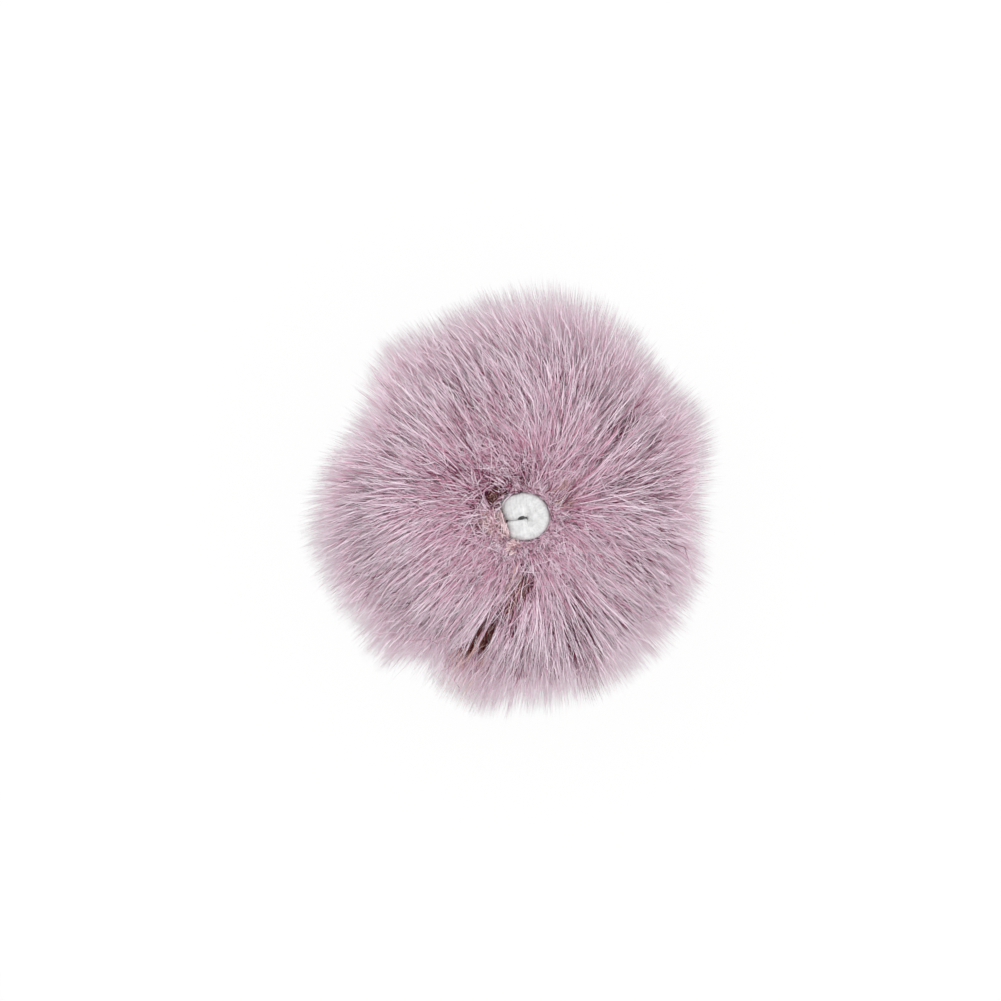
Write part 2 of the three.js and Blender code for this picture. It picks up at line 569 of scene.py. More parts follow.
@dataclass(frozen=True)
class ElasticFinish:
    """The elastic's soft white knitted cover, brushed until its stitches only mottle it, as painted shade in
    their hollows.

    Attributes:
        white: the cover's colour.
        shade: its colour in the hollows, painted shade.
        rib: width of a stitch, in millimetres.
        lean: how far the two sets of ribs lean off the elastic's length.
        fine: how finely the brushed nap is spread, and in how much detail.
        broad: the same of its broader unevenness.
        relief: how much the stitches, the fine nap and the broad one rise.
        tone: how fast the colour follows the height, and from what height up; lower down it darkens to the
            painted shade.
        depth: depth of the whole relief, in metres.
    """

    name: str = "elastic_cover"
    white: Colour = (0.735, 0.735, 0.730)
    shade: Colour = (0.500, 0.500, 0.505)
    rib: float = 0.35
    lean: float = 0.5
    fine: Pair = (3600.0, 2.0)
    broad: Pair = (1300.0, 1.0)
    relief: tuple[float, float, float] = (0.10, 0.5, 0.9)
    tone: Pair = (1.6, 0.55)
    depth: float = 0.00006
    roughness: float = 0.95
    sheen: float = 0.35

    def material(self) -> Material:
        """Makes the cover's material.

        Returns:
            The material.
        """
        tree = ShaderTree.of_material(self.name)
        across, along = tree.laid_on(CLOTH_MAP)
        ribs = TURN / self.rib
        left = ((across + along * self.lean) * ribs).sine()
        right = ((across - along * self.lean) * ribs).sine()
        stitch, fine, broad = self.relief
        height = left * right * stitch + tree.noise(*self.fine) * fine + tree.noise(*self.broad) * broad
        contrast, start = self.tone
        # painted shade: the cover darkens where its relief is low
        colour = tree.blend(height * contrast - start, self.shade, self.white)
        bump = tree.bump(height, self.depth)
        return tree.principled(
            {"Base Color": colour, "Roughness": self.roughness, "Normal": bump, "Sheen Weight": self.sheen}
        )


@dataclass(frozen=True)
class FuzzFinish:
    """Loose white fibres that stand off the elastic."""

    name: str = "elastic_fuzz"
    white: Colour = (0.735, 0.735, 0.730)
    roughness: float = 0.8
    specular: float = 0.3

    def material(self) -> Material:
        """Makes the fibres' material.

        Returns:
            The material.
        """
        return ShaderTree.of_material(self.name).principled(
            {"Base Color": self.white, "Roughness": self.roughness, "Specular IOR Level": self.specular}
        )


@dataclass(frozen=True)
class FloorFinish:
    """A floor that the camera sees as white, with a trace of the object's shadow left on it.

    Attributes:
        paint: the colour that the light falls on.
        whiteness: share of plain white in what the camera sees.
    """

    name: str = "pale_floor"
    paint: Colour = (0.850, 0.850, 0.850)
    whiteness: float = 0.93

    def material(self) -> Material:
        """Makes the floor's material.

        Returns:
            The material.
        """
        tree = ShaderTree.of_material(self.name)
        white = tree.add("ShaderNodeEmission", inputs={"Color": WHITE, "Strength": 1.0})
        paint = tree.add("ShaderNodeBsdfDiffuse", inputs={"Color": self.paint})
        seen = tree.add("ShaderNodeLightPath", output="Is Camera Ray")
        shader = tree.add("ShaderNodeMixShader", inputs={0: seen * self.whiteness, 1: paint, 2: white})
        tree.surface("ShaderNodeOutputMaterial", shader)
        return tree.owner


# ---- hairs


@dataclass
class Hairs:
    """Many hairs, one row each, in millimetres.

    Attributes:
        root: where each hair leaves the ground.
        bend: the point that its middle leans towards.
        tip: where it ends.
        radius: its radius at the root.
        tone: its tone, from 0 to 1.
    """

    root: Array
    bend: Array
    tip: Array
    radius: Array
    tone: Array

    def __len__(self) -> int:
        """How many hairs there are."""
        return len(self.root)

    def where(self, chosen: Array) -> "Hairs":
        """The hairs that a mask or an index array chooses."""
        picked = (self.root, self.bend, self.tip, self.radius, self.tone)
        return Hairs(*(column[chosen] for column in picked))

    def at(self, share: float) -> Array:
        """The point at this share of the way from each root to its tip."""
        rest = 1 - share
        return rest**2 * self.root + 2 * rest * share * self.bend + share**2 * self.tip

    @staticmethod
    def joined(batches: Sequence["Hairs"]) -> "Hairs":
        """All batches as one."""
        columns = ("root", "bend", "tip", "radius", "tone")
        return Hairs(*(np.concatenate([getattr(b, c) for b in batches]) for c in columns))


@dataclass(frozen=True)
class HairBuilder:
    """Turns hairs into one mesh of closed, three-sided, tapering strands.

    Operators are too slow for so many strands, so their points are worked out all at once.

    Attributes:
        rings: places of a strand's rings, as shares of its length.
        taper: the strand's radius at each ring, as a share of its root's.
        strip: width that one strand takes of the map.
        sides: how many sides a strand has.
        spin: how fast its sides turn round it with its tone.
    """

    rings: tuple[float, ...] = (0.0, 0.38, 0.74)
    taper: tuple[float, ...] = (0.85, 1.0, 0.8)
    strip: float = 0.006
    sides: ClassVar[int] = 3
    spin: ClassVar[Pair] = (97.0, 1.7)

    @staticmethod
    def with_segments(segments: int) -> "HairBuilder":
        """A builder of hairs with two or three straight pieces."""
        return HairBuilder((0.0, 0.55), (0.9, 0.95)) if segments == 2 else HairBuilder()

    def build(self, name: str, hairs: Hairs) -> Piece:
        """Makes the mesh and its object.

        Args:
            name: the piece's name.
            hairs: the hairs, in millimetres.

        Returns:
            The new object, with the map HAIR_MAP.
        """
        count, sides = len(hairs), self.sides
        points = np.empty((count, len(self.rings) * sides + 1, 3))
        for row, (share, width) in enumerate(zip(self.rings, self.taper)):
            reach = (hairs.radius * width)[:, None, None] * round_about(*self._frames(hairs, share), sides)
            points[:, row * sides : (row + 1) * sides] = hairs.at(share)[:, None] + reach
        points[:, -1] = hairs.tip
        quads, tris = self._faces()
        start = (np.arange(count) * points.shape[1])[:, None, None]
        mesh = bpy.data.meshes.new(name)
        faces = (start + quads).reshape(-1, 4).tolist() + (start + tris).reshape(-1, 3).tolist()
        mesh.from_pydata((points * MM).reshape(-1, 3), [], faces)
        self._lay_map(mesh, hairs.tone)
        mesh.shade_smooth()
        LOG.info("%s: %d hairs", name, count)
        return add_object(name, mesh)

    def _frames(self, hairs: Hairs, share: float) -> tuple[Array, Array]:
        """Two directions across each strand.

        Args:
            hairs: the hairs.
            share: the place along them, as a share of their length.

        Returns:
            The two directions for each hair.
        """
        along = unit((1 - share) * (hairs.bend - hairs.root) + share * (hairs.tip - hairs.bend))
        turn = hairs.tone * self.spin[0]
        aside = np.stack([np.cos(turn), np.sin(turn), np.cos(turn * self.spin[1])], axis=1)
        side = unit(np.cross(aside, along))
        return side, np.cross(along, side)

    def _faces(self) -> tuple[Array, Array]:
        """Sets out one strand's faces.

        Returns:
            Its quads and its triangles, as numbers of its own points.
        """
        sides, last = self.sides, len(self.rings) - 1
        after = [(i, (i + 1) % sides) for i in range(sides)]
        quads = [
            (row * sides + i, row * sides + j, (row + 1) * sides + j, (row + 1) * sides + i)
            for row in range(last)
            for i, j in after
        ]
        tris = [(last * sides + i, last * sides + j, (last + 1) * sides) for i, j in after]
        return np.array(quads), np.array(tris + [(0, 2, 1)])

    def _lay_map(self, mesh: bpy.types.Mesh, tone: Array) -> None:
        """Lays each strand on a strip of the map, by its tone.

        Args:
            mesh: the strands: all their quads, then all their triangles.
            tone: the strands' tones.
        """
        last = len(self.rings) - 1
        quads = [
            [(i, row), (i + 1, row), (i + 1, row + 1), (i, row + 1)]
            for row in range(last)
            for i in range(self.sides)
        ]
        tips = [[(i, last), (i + 1, last), (i + 0.5, last + 1)] for i in range(self.sides)]
        butt = [[(0, 0), (2, 0), (1, 0.25)]]
        laid = np.concatenate([self._places(quads, tone), self._places(tips + butt, tone)])
        layer = mesh.uv_layers.new(name=HAIR_MAP)
        layer.data.foreach_set("uv", laid.astype(np.float32).ravel())

    def _places(self, faces: Sequence[Sequence[Pair]], tone: Array) -> Array:
        """The map's places of the same faces of every strand.

        Args:
            faces: one strand's faces, with each corner as the number of its side and of its ring.
            tone: the strands' tones.

        Returns:
            One place for each corner, strand by strand.
        """
        rings = (*self.rings, 1.0)
        width = self.strip / self.sides
        corners = np.array(faces)
        across = tone[:, None, None] + corners[None, :, :, 0] * width
        up = np.interp(corners[:, :, 1], range(len(rings)), rings)
        return np.stack([across, np.broadcast_to(up[None], across.shape)], axis=-1).reshape(-1, 2)


# ---- the fur


class Tone(Enum):
    """The special tones of the pile, as ranges across its map."""

    # painted shade: brown hairs laid down in the partings
    UMBER = (0.000, 0.020)
    SALMON = (0.032, 0.052)
    # painted shade: plum hairs in the gaps between the locks
    PLUM = (0.062, 0.082)
    PLAIN = (0.100, 0.940)
    FROSTED = (0.960, 0.990)

    def pick(self, count: int, rng: Chance) -> Array:
        """Tones of this range for as many hairs as count."""
        return rng.uniform(*self.value, count)


@dataclass(frozen=True)
class Tuft:
    """A place round the ball where the pile stands out, or parts if reach is negative.

    Attributes:
        azimuth: its middle, in degrees.
        width: its half width, in degrees.
        reach: how far it moves the tips out, in millimetres.
        ragged: how much further its shortest wisps fall short.
    """

    azimuth: float
    width: float
    reach: float
    ragged: float = 0.0


@dataclass(frozen=True)
class Sweep:
    """A place round the gather where the pile is swept aside.

    Attributes:
        azimuth: its middle, in degrees.
        width: its half width, in degrees.
        lean: how far the hairs there lean off straight out to the left, in degrees.
        mess: how much further its loose hairs stray, in radians.
    """

    azimuth: float
    width: float
    lean: float
    mess: float = 0.0


@dataclass(frozen=True)
class Parting:
    """A line on the top along which the pile has fallen apart.

    Attributes:
        start: one end of the line, in millimetres.
        end: the other end.
        push: how far the hairs beside it are moved aside.
        bare: hairs nearer the line than this are left out.
        crossed: share of those hairs that stay and cross it.
        depth: how deep the bare strip is.
        dark: how many dark hairs lie down in it, as painted shade.
        tone: what tone they have.
        fade: how far past its ends it fades out, as a share of its length.
        soft: how far beside the bare strip the push still reaches, as bare's multiple and in millimetres.
        laid: where along it the dark hairs start, as a range of shares of its length.
        laid_beside: how far beside the bare strip they start.
        laid_length: range of how far they go along it, as shares of its length.
        laid_aside: how far they stray from its direction, in millimetres.
        root_depth: range of how deep they start, as shares of its depth.
        tip_depth: range of how deep they end.
        laid_bend: how far their middles stray, in millimetres.
        thickness: range of their radii, as a share of the pile's.
        stained: share of them that have another tone.
    """

    start: Pair
    end: Pair
    push: float
    bare: float
    crossed: float
    depth: float
    dark: int = 0
    tone: Tone = Tone.UMBER

    fade: ClassVar[float] = 0.2
    soft: ClassVar[Pair] = (2.0, 0.6)
    laid: ClassVar[Pair] = (-0.25, 0.8)
    laid_beside: ClassVar[float] = 0.3
    laid_length: ClassVar[Pair] = (0.3, 0.6)
    laid_aside: ClassVar[float] = 0.7
    root_depth: ClassVar[Pair] = (0.25, 0.8)
    tip_depth: ClassVar[Pair] = (0.1, 0.6)
    laid_bend: ClassVar[float] = 0.4
    thickness: ClassVar[Pair] = (0.6, 1.1)
    stained: ClassVar[float] = 0.20

    def measure(self, points: Array) -> tuple[Array, Array, Array]:
        """Measures points against the line.

        Args:
            points: the points.

        Returns:
            Their signed distances from the line, how much of the parting shows there, and the
            direction across it.
        """
        start, end = np.array(self.start), np.array(self.end)
        length = np.linalg.norm(end - start)
        along = (end - start) / length
        across = np.array([-along[1], along[0]])
        offset = points[:, :2] - start
        place = offset @ along / length
        shows = np.clip(np.minimum(place + self.fade, 1 + self.fade - place) / self.fade, 0, 1)
        return offset @ across, shows, across

    def comb(self, points: Array) -> Array:
        """Moves points aside from the line.

        Args:
            points: the points.

        Returns:
            The moved points.
        """
        distance, shows, across = self.measure(points)
        reach = self.soft[0] * self.bare + self.soft[1]
        amount = self.push * shows * np.exp(-((distance / reach) ** 2)) * np.sign(distance)
        moved = points.copy()
        moved[:, :2] += amount[:, None] * across
        return moved

    def lies_over(self, points: Array) -> Array:
        """Whether each point lies over the bare strip."""
        distance, shows, _ = self.measure(points)
        return (np.abs(distance) < self.bare) & (shows > 0.9)


@dataclass(frozen=True)
class Tint:
    """A spot on the top where some of the pile has a tone of its own.

    Attributes:
        place: the spot's middle, in millimetres.
        size: its half widths.
        share: share of the hairs there that have the tone.
        tone: the tone; the ground's dye has stained those of the salmon tone, and those of the plum tone are
            painted shade.
    """

    place: Pair
    size: Pair
    share: float
    tone: Tone = Tone.SALMON


class Region(Enum):
    """Where on the ball the pile's tips are, from the gather to the crown."""

    GATHER = "pile_gather"
    COVER = "pile_cover"
    SHOULDER = "pile_shoulder"
    BELLY = "pile_belly"
    CROWN = "pile_crown"


@dataclass(frozen=True)
class FeltPlan:
    """Short hairs that have come loose and lie on the pile's top.

    Attributes:
        name: their piece's name.
        count: how many there are.
        spread: the two shapes of a beta distribution, from the gather outwards.
        width: how far from the elastic the furthest are, in millimetres.
        depth: range of how deep they start.
        length: range of their lengths.
        near: how far their directions stray close to the gather, in radians.
        far: how far they stray out at the rim.
        thickness: range of their radii, as a share of the pile's.
        odd: share of them that have a tone of its own.
        tone: that tone.
        sunk: how far below the top they lie, in millimetres.
        clump: how many of them lie close together.
        segments: how many straight pieces each is made of.
        clump_spread: how far a clump's hairs start apart, outwards and aside.
        middle: range of where a hair's middle is, as shares of its length.
        curl: how far its middle strays aside, as a share of its length.
        lift: range of how high its middle rises over the top.
        droop: how far its tip sinks into the top, on average.
        inset: how far inside the rim the furthest ends, and how much further one that lies 1 mm down.
    """

    name: str
    count: int
    spread: Pair
    width: float
    depth: Pair
    length: Pair
    near: float
    far: float
    thickness: Pair
    odd: float
    tone: Tone = Tone.FROSTED
    sunk: float = 0.0
    clump: int = 1
    segments: int = 2

    clump_spread: ClassVar[Pair] = (1.6, 0.35)
    middle: ClassVar[Pair] = (0.25, 0.6)
    curl: ClassVar[float] = 0.12
    lift: ClassVar[Pair] = (-0.9, 1.3)
    droop: ClassVar[float] = 0.4
    inset: ClassVar[Pair] = (2.5, 14.0)


@dataclass(frozen=True)
class RegionPlan:
    """How one region of the pile is planted.

    Attributes:
        region: the region.
        root: range of its roots, in degrees from straight up, seen from the middle of the ground.
        tip: range of its tips, in degrees from straight up, seen from the middle of the ball.
        locks: how many locks it has.
        wisps: how many wisps a lock has.
        strands: how many hairs a wisp has.
        arch: range of how far a hair's middle rises from its chord to the outer form, from 0 to 1.
        dark: share of dark hairs.
        frosted: share of pale stray hairs.
        segments: how many straight pieces a hair is made of.
    """

    region: Region
    root: Pair
    tip: Pair
    locks: int
    wisps: int
    strands: int
    arch: Pair
    dark: float
    frosted: float
    segments: int = 3


@dataclass(frozen=True)
class Gather:
    """Where the cloth is drawn up by its edge, a little off the ball's middle.

    Attributes:
        place: its middle, in millimetres.
        turn: how far its own axes are turned, in radians.
    """

    place: Pair = (-0.15, -3.35)
    turn: float = math.radians(9)

    def away(self, points: Array) -> Array:
        """How far points are from its middle, seen from above."""
        return np.linalg.norm(points[:, :2] - np.array(self.place), axis=1)

    def placed(self, across: Array, along: Array, height: Array) -> Array:
        """Puts points in place that are given along the gather's own axes.

        Args:
            across: how far they are across it, in millimetres.
            along: how far they are along it.
            height: their heights.

        Returns:
            The points.
        """
        cos, sin = math.cos(self.turn), math.sin(self.turn)
        x = self.place[0] + across * cos - along * sin
        y = self.place[1] + across * sin + along * cos
        return np.column_stack([x, y, height])


@dataclass(frozen=True)
class Scatter:
    """How far locks, wisps and hairs stray, in radians and millimetres.

    A turn moves the roots round the ball and a swing the tips. A root or a tip moves towards the gather
    or off it.

    Attributes:
        lock_turn: most that a lock is moved round, as a share of a turn.
        lock_order: how loosely locks' tips keep the order of their roots.
        ragged_power: the larger it is, the fewer wisps fall as short as the shortest.
        fall: most that a hair falls short of its wisp.
        fall_power: the larger it is, the fewer hairs do.
        tip: how far a neat hair's tip strays, and a loose one's.
        bend: how far their middles stray.
        middle: range of where a hair's middle is, as shares of its length.
        arch: range of a hair's arch, as a share of its wisp's.
        thickness: range of its radius, as a share of the pile's.
    """

    lock_turn: float = 0.02
    lock_order: float = 0.25
    lock_swing: float = 0.06
    lock_tone: float = 0.12
    wisp_turn: float = 0.12
    wisp_root: float = 0.07
    wisp_tip: float = 0.08
    wisp_swing: float = 0.07
    wisp_tone: float = 0.13
    ragged_power: float = 1.5
    hair_turn: float = 0.07
    hair_root: float = 0.05
    fall: float = 7.0
    fall_power: float = 1.6
    tip: Pair = (0.7, 1.7)
    bend: Pair = (0.5, 1.5)
    middle: Pair = (0.30, 0.55)
    arch: Pair = (0.85, 1.0)
    thickness: Pair = (0.8, 1.2)


@dataclass(frozen=True)
class Shading:
    """How hairs' tones follow their places on the ball, with painted rim light and painted shade.

    Attributes:
        pale: mean and spread of the tones of pale hairs.
        dark: range of the tones of dark hairs.
        dark_rim_light: how much paler dark hairs are at the rim, as painted rim light.
        dark_fades: how much smaller their share is there, as painted rim light.
        evened: how much less locks and wisps differ there.
        rim_light: how much paler all hairs are there, as painted rim light.
        frosted_rim_light: how much larger the share of frosted hairs is there, as painted rim light.
        odd_rim_light: how much larger the share of felted hairs with a tone of its own is there, as
            painted rim light.
        frosted_sunk: how fast the share of frosted hairs shrinks with depth, as painted shade.
        deep: how much darker a hair is that lies deep under the top, as painted shade.
        short: how much darker a hair is that ends far short of the form, as painted shade.
        scale: how deep or how short that is, in millimetres.
        slack: share of that depth that darkens nothing.
    """

    pale: Pair = (0.92, 0.16)
    dark: Pair = (0.10, 0.45)
    dark_rim_light: float = 0.22
    dark_fades: float = 0.75
    evened: float = 0.6
    rim_light: float = 0.14
    frosted_rim_light: float = 0.55
    odd_rim_light: float = 0.4
    frosted_sunk: float = 1.6
    deep: float = 0.48
    short: float = 0.13
    scale: float = 5.0
    slack: float = 0.1


@dataclass
class Wisps:
    """Bundles of hairs, one row each.

    Attributes:
        turn: where each is rooted round the ball, in radians.
        root: the angle of its roots from straight up.
        tip: the angle of its tips.
        lean: the tangent of the angle that it leans off straight out.
        swing: how far its tips swing round the ball.
        ragged: how far it falls short of the form, in millimetres.
        tone: how much paler it is than the pile, or darker if negative.
        arch: how far its hairs arch up, from 0 to 1.
    """

    turn: Array
    root: Array
    tip: Array
    lean: Array
    swing: Array
    ragged: Array
    tone: Array
    arch: Array


@dataclass
class FurBall:
    """The pile of the drawn-up disc of fur cloth, planted lock by lock, wisp by wisp and hair by hair.

    Lengths are in millimetres.

    Attributes:
        low: lowest corner of the fur's solid.
        high: its highest corner.
        keep_off: the elastic's centre line, which no hair comes near.
        middle: the ball's middle, seen from above.
        neck: half widths of the ground's neck, across it and along it.
        neck_angles: where the neck is whole and where it starts, in degrees from straight up.
        waist_height: height of the ball's widest place.
        roundness: power of the outer form's curve; 2 is a plain oval.
        dimple: depth and width of the dimple at the gather.
        proud: how far the tips stand out past the solid's sides.
        lowest: how near the floor a hair may come.
        clearance: how near the elastic's centre line one may come.
        loop_depth: how far below the top the elastic still keeps felted hairs away.
        loop_zone: how far from the gather hairs are tested against the elastic.
        lean_angles: where the lean has ended and where it is whole, in radians from straight up.
        bow: how far leaning hairs bow aside.
        upper: height over the waist at which hairs arch in full.
        shaded: height over the waist at which their painted shade applies in full.
        loose_share: share of hairs that stray further than neat ones.
        dark_share: share of dark hairs among the felted ones.
        golden: share of a turn from each lock to the next.
        rim: where a hair starts to count as rimward for the painted rim light and over what distance, as
        shares of the width, and the height at which it counts in full.
        judged: place along a hair where its depth is judged for the painted shade.
        tinted: place along a hair where its tint is.
        loop_places: first, last and number of the places along a hair that are kept off the elastic.
        comb_places: the same for the partings.
        neck_share: share of the neck that felted hairs stay out of.
        stray_tails: the smaller it is, the further a few felted hairs stray.
        stray_scale: how far they all stray, as a share of what their plan says.
    """

    low: Array
    high: Array
    keep_off: Array
    gather: Gather = Gather()
    middle: Pair = (0.5, -0.2)
    neck: Pair = (3.1, 4.9)
    neck_rise: float = 3.0
    neck_angles: Pair = (22, 42)
    ground_radius: float = 10.5
    ground_half_height: float = 14.5
    ground_height: float = 24.5
    waist_height: float = 24.0
    roundness: float = 2.4
    dimple: Pair = (0.85, 6.0)
    proud: float = 2.0
    lowest: float = 0.3
    clearance: float = 1.71
    loop_depth: float = 5.0
    loop_zone: float = 12.0
    root_lean: float = 1.1
    tip_lean: float = 0.25
    lean_angles: Pair = (2.0, 1.1)
    root_swing: float = 0.2
    bow: float = 0.4
    upper: float = 12.0
    shaded: float = 10.0
    hair_radius: float = 0.073
    loose_share: float = 0.60
    dark_share: float = 0.30
    least_ragged: float = 0.9
    seed: int = 7
    scatter: Scatter = Scatter()
    shading: Shading = Shading()

    golden: ClassVar[float] = 0.618034
    root_angles: ClassVar[Pair] = (0.3, math.pi - 0.02)
    tip_angles: ClassVar[Pair] = (0.2, math.pi - 0.02)
    rim: ClassVar[tuple[float, float, float]] = (0.35, 0.6, 12.0)
    judged: ClassVar[float] = 0.65
    tinted: ClassVar[float] = 0.7
    loop_places: ClassVar[tuple[float, float, int]] = (0.05, 1.0, 14)
    comb_places: ClassVar[tuple[float, float, int]] = (0.1, 1.0, 24)
    neck_share: ClassVar[float] = 0.85
    stray_tails: ClassVar[float] = 3
    stray_scale: ClassVar[float] = 0.8

    tufts: ClassVar[tuple[Tuft, ...]] = (
        Tuft(5, 12, -0.8, 2.5),
        Tuft(25, 9, 0.8),
        Tuft(41, 9, -1.9),
        Tuft(76, 17, 1.8),
        Tuft(112, 12, -1.3, 0.6),
        Tuft(145, 25, 0.0, 2.2),
        Tuft(153, 14, -4.2),
        Tuft(172, 6, -0.9, 1.0),
        Tuft(195, 12, 0.9),
        Tuft(213, 16, 0.3, 2.0),
        Tuft(229, 5, 1.3, 1.0),
        Tuft(240, 5, -3.6, 1.5),
        Tuft(260, 7, 1.2),
        Tuft(285, 14, 0.7),
        Tuft(312, 20, 1.0),
        Tuft(338, 12, -0.4, 1.6),
        Tuft(355, 10, -1.9),
    )
    sweeps: ClassVar[tuple[Sweep, ...]] = (
        Sweep(29, 14, 16),
        Sweep(60, 10, 7),
        Sweep(91, 25, 34, 0.15),
        Sweep(130, 20, 0, 0.20),
        Sweep(191, 22, 22),
        Sweep(232, 26, 0, 0.35),
        Sweep(268, 27, -19),
        Sweep(346, 17, -24),
    )
    # the brown and the plum hairs laid down in the partings are painted shade
    partings: ClassVar[tuple[Parting, ...]] = (
        Parting((3.2, -12.6), (-1.2, -19.2), 0.2, 0.60, 0.18, 1.9, 280),
        Parting((-3.1, -21.0), (-5.1, -25.0), 0.3, 0.62, 0.02, 5.5, 170),
        Parting((-4.7, -20.4), (-7.2, -25.6), 0.12, 0.30, 0.10, 3.5, 110),
        Parting((-4.0, 0.9), (-2.8, -1.6), 0.15, 0.7, 0.10, 3.0, 150),
        Parting((-1.2, 1.5), (-3.8, 0.0), 0.15, 0.7, 0.08, 3.0, 150),
        Parting((13.0, 4.6), (18.6, 11.8), 0.15, 0.12, 0.30, 2.0, 50, Tone.PLUM),
        Parting((13.4, 0.5), (22.4, 4.6), 0.1, 0.10, 0.40, 2.0, 36, Tone.PLUM),
        Parting((10.6, -18.0), (14.2, -25.2), 0.2, 0.12, 0.30, 2.0, 50, Tone.PLUM),
        Parting((8.4, -20.0), (10.2, -27.0), 0.15, 0.10, 0.35, 2.0, 40, Tone.PLUM),
    )
    # salmon tints are the dye's stains; plum tints are painted shade where the pile gapes
    tints: ClassVar[tuple[Tint, ...]] = (
        Tint((-7.8, -27.4), (3.2, 2.2), 0.4),
        Tint((9.6, 0.8), (2.6, 2.4), 0.35),
        Tint((-3.9, -3.9), (1.8, 1.8), 0.3),
        Tint((-0.2, -7.6), (1.3, 1.3), 0.35, Tone.PLUM),
        Tint((0.4, -15.6), (1.6, 3.6), 0.25),
        Tint((-2.5, 2.6), (5.0, 2.4), 0.15, Tone.PLUM),
        Tint((-7.0, 9.5), (5.5, 6.5), 0.09, Tone.PLUM),
        Tint((-9.0, 3.0), (5.5, 3.0), 0.12, Tone.PLUM),
        Tint((1.5, 4.6), (5.5, 3.0), 0.11, Tone.PLUM),
        Tint((7.9, -0.5), (3.0, 3.0), 0.10, Tone.PLUM),
        Tint((21.0, 3.8), (5.0, 2.5), 0.08, Tone.PLUM),
        Tint((11.2, -22.0), (1.8, 6.0), 0.20, Tone.PLUM),
        Tint((-8.6, 20.6), (2.8, 4.0), 0.12, Tone.PLUM),
        Tint((1.4, -16.7), (3.0, 4.0), 0.08, Tone.PLUM),
    )
    # the shoulder's and the belly's larger shares of frosted hairs and smaller shares of dark ones are
    # partly painted rim light
    plans: ClassVar[tuple[RegionPlan, ...]] = (
        RegionPlan(Region.GATHER, (22, 46), (18, 62), 200, 9, 9, (0.75, 1.0), 0.30, 0.03, 2),
        RegionPlan(Region.COVER, (26, 60), (40, 88), 152, 9, 9, (0.7, 1.0), 0.22, 0.12),
        RegionPlan(Region.SHOULDER, (50, 84), (70, 104), 130, 9, 9, (0.4, 1.0), 0.14, 0.40),
        RegionPlan(Region.BELLY, (80, 122), (84, 126), 84, 9, 9, (0.3, 0.9), 0.10, 0.50, 2),
        RegionPlan(Region.CROWN, (118, 176), (122, 178), 84, 9, 9, (0.2, 0.7), 0.15, 0.25, 2),
    )
    felts: ClassVar[tuple[FeltPlan, ...]] = (
        FeltPlan("pile_tangle", 8200, (1.1, 2.0), 15.0, (1.0, 3.2), (3.0, 9.0), 1.0, 0.3,
                 (0.7, 1.05), 0.20),
        FeltPlan("pile_collar", 2500, (1.0, 1.8), 1.6, (-0.8, 0.6), (0.8, 2.8), 1.8, 1.3,
                 (0.6, 0.9), 0.75),
        FeltPlan("pile_crossing", 620, (1.1, 1.5), 14.0, (-0.4, 0.3), (5.0, 11.0), 1.5, 0.9,
                 (0.75, 1.0), 1.0),
        FeltPlan("pile_strays", 5000, (1.1, 1.6), 28.0, (0.1, 1.2), (4.0, 11.0), 0.5, 0.11,
                 (0.7, 0.95), 0.45),
        FeltPlan("pile_veil", 4200, (2.6, 1.2), 30.0, (0.0, 1.0), (4.0, 9.0), 0.3, 0.10,
                 (0.65, 0.9), 0.55),
        # plum dashes just under the top: painted shade in the gaps between the locks
        FeltPlan("pile_dashes", 4800, (1.1, 2.2), 24.0, (0.2, 1.0), (1.2, 3.6), 0.35, 0.10,
                 (0.75, 1.15), 1.0, Tone.PLUM, 0.26, 5),
    )

    @property
    def width(self) -> float:
        """The outer form's radius at the waist, before its tufts."""
        return float((self.high - self.low)[:2].mean()) / 2 + self.proud

    @staticmethod
    def _round(azimuth: Array, places: Sequence[Union[Tuft, Sweep]], amount: str) -> Array:
        """Adds one amount of all places up.

        Args:
            azimuth: azimuths, in radians.
            places: the places.
            amount: the amount's name.

        Returns:
            The sum at each azimuth.
        """
        degrees = np.degrees(azimuth)
        total = np.zeros_like(degrees)
        for place in places:
            away = (degrees - place.azimuth + 180) % 360 - 180
            total += getattr(place, amount) * np.exp(-((away / place.width) ** 2))
        return total

    def reach_round(self, azimuth: Array) -> Array:
        """How far the tufts and gaps move the tips out, in millimetres."""
        return self._round(azimuth, self.tufts, "reach")

    def ragged_round(self, azimuth: Array) -> Array:
        """How far the shortest wisps fall short of the form, in millimetres."""
        return self.least_ragged + self._round(azimuth, self.tufts, "ragged")

    def lean_round(self, azimuth: Array) -> Array:
        """How far the pile leans off straight out, in radians."""
        return np.radians(self._round(azimuth, self.sweeps, "lean"))

    def mess_round(self, azimuth: Array) -> Array:
        """How much further loose hairs stray, in radians."""
        return self._round(azimuth, self.sweeps, "mess")

    def centre_at(self, polar: Array) -> Array:
        """The ball's middle line: over the gather at the top, over the ball's middle from the waist."""
        gather, middle = np.array(self.gather.place), np.array(self.middle)
        return gather + eased(polar / (math.pi / 2))[:, None] * (middle - gather)

    def outer(self, polar: Array, azimuth: Array) -> Array:
        """The form that the tips reach.

        Args:
            polar: angles from straight up, in radians.
            azimuth: angles round the ball.

        Returns:
            The form's points at those angles.
        """
        power = 2 / self.roundness
        out = np.sin(polar).clip(0, 1) ** power
        up = np.sign(np.cos(polar)) * np.abs(np.cos(polar)) ** power
        above = self.high[2] - self.waist_height
        height = self.waist_height + np.where(up > 0, up * above, up * self.waist_height)
        radius = out * self.width + self.reach_round(azimuth) * np.sin(polar).clip(0, 1) ** 3
        flat = self.centre_at(polar) + radius[:, None] * spokes(azimuth)
        return np.column_stack([flat, np.maximum(height, self.lowest)])

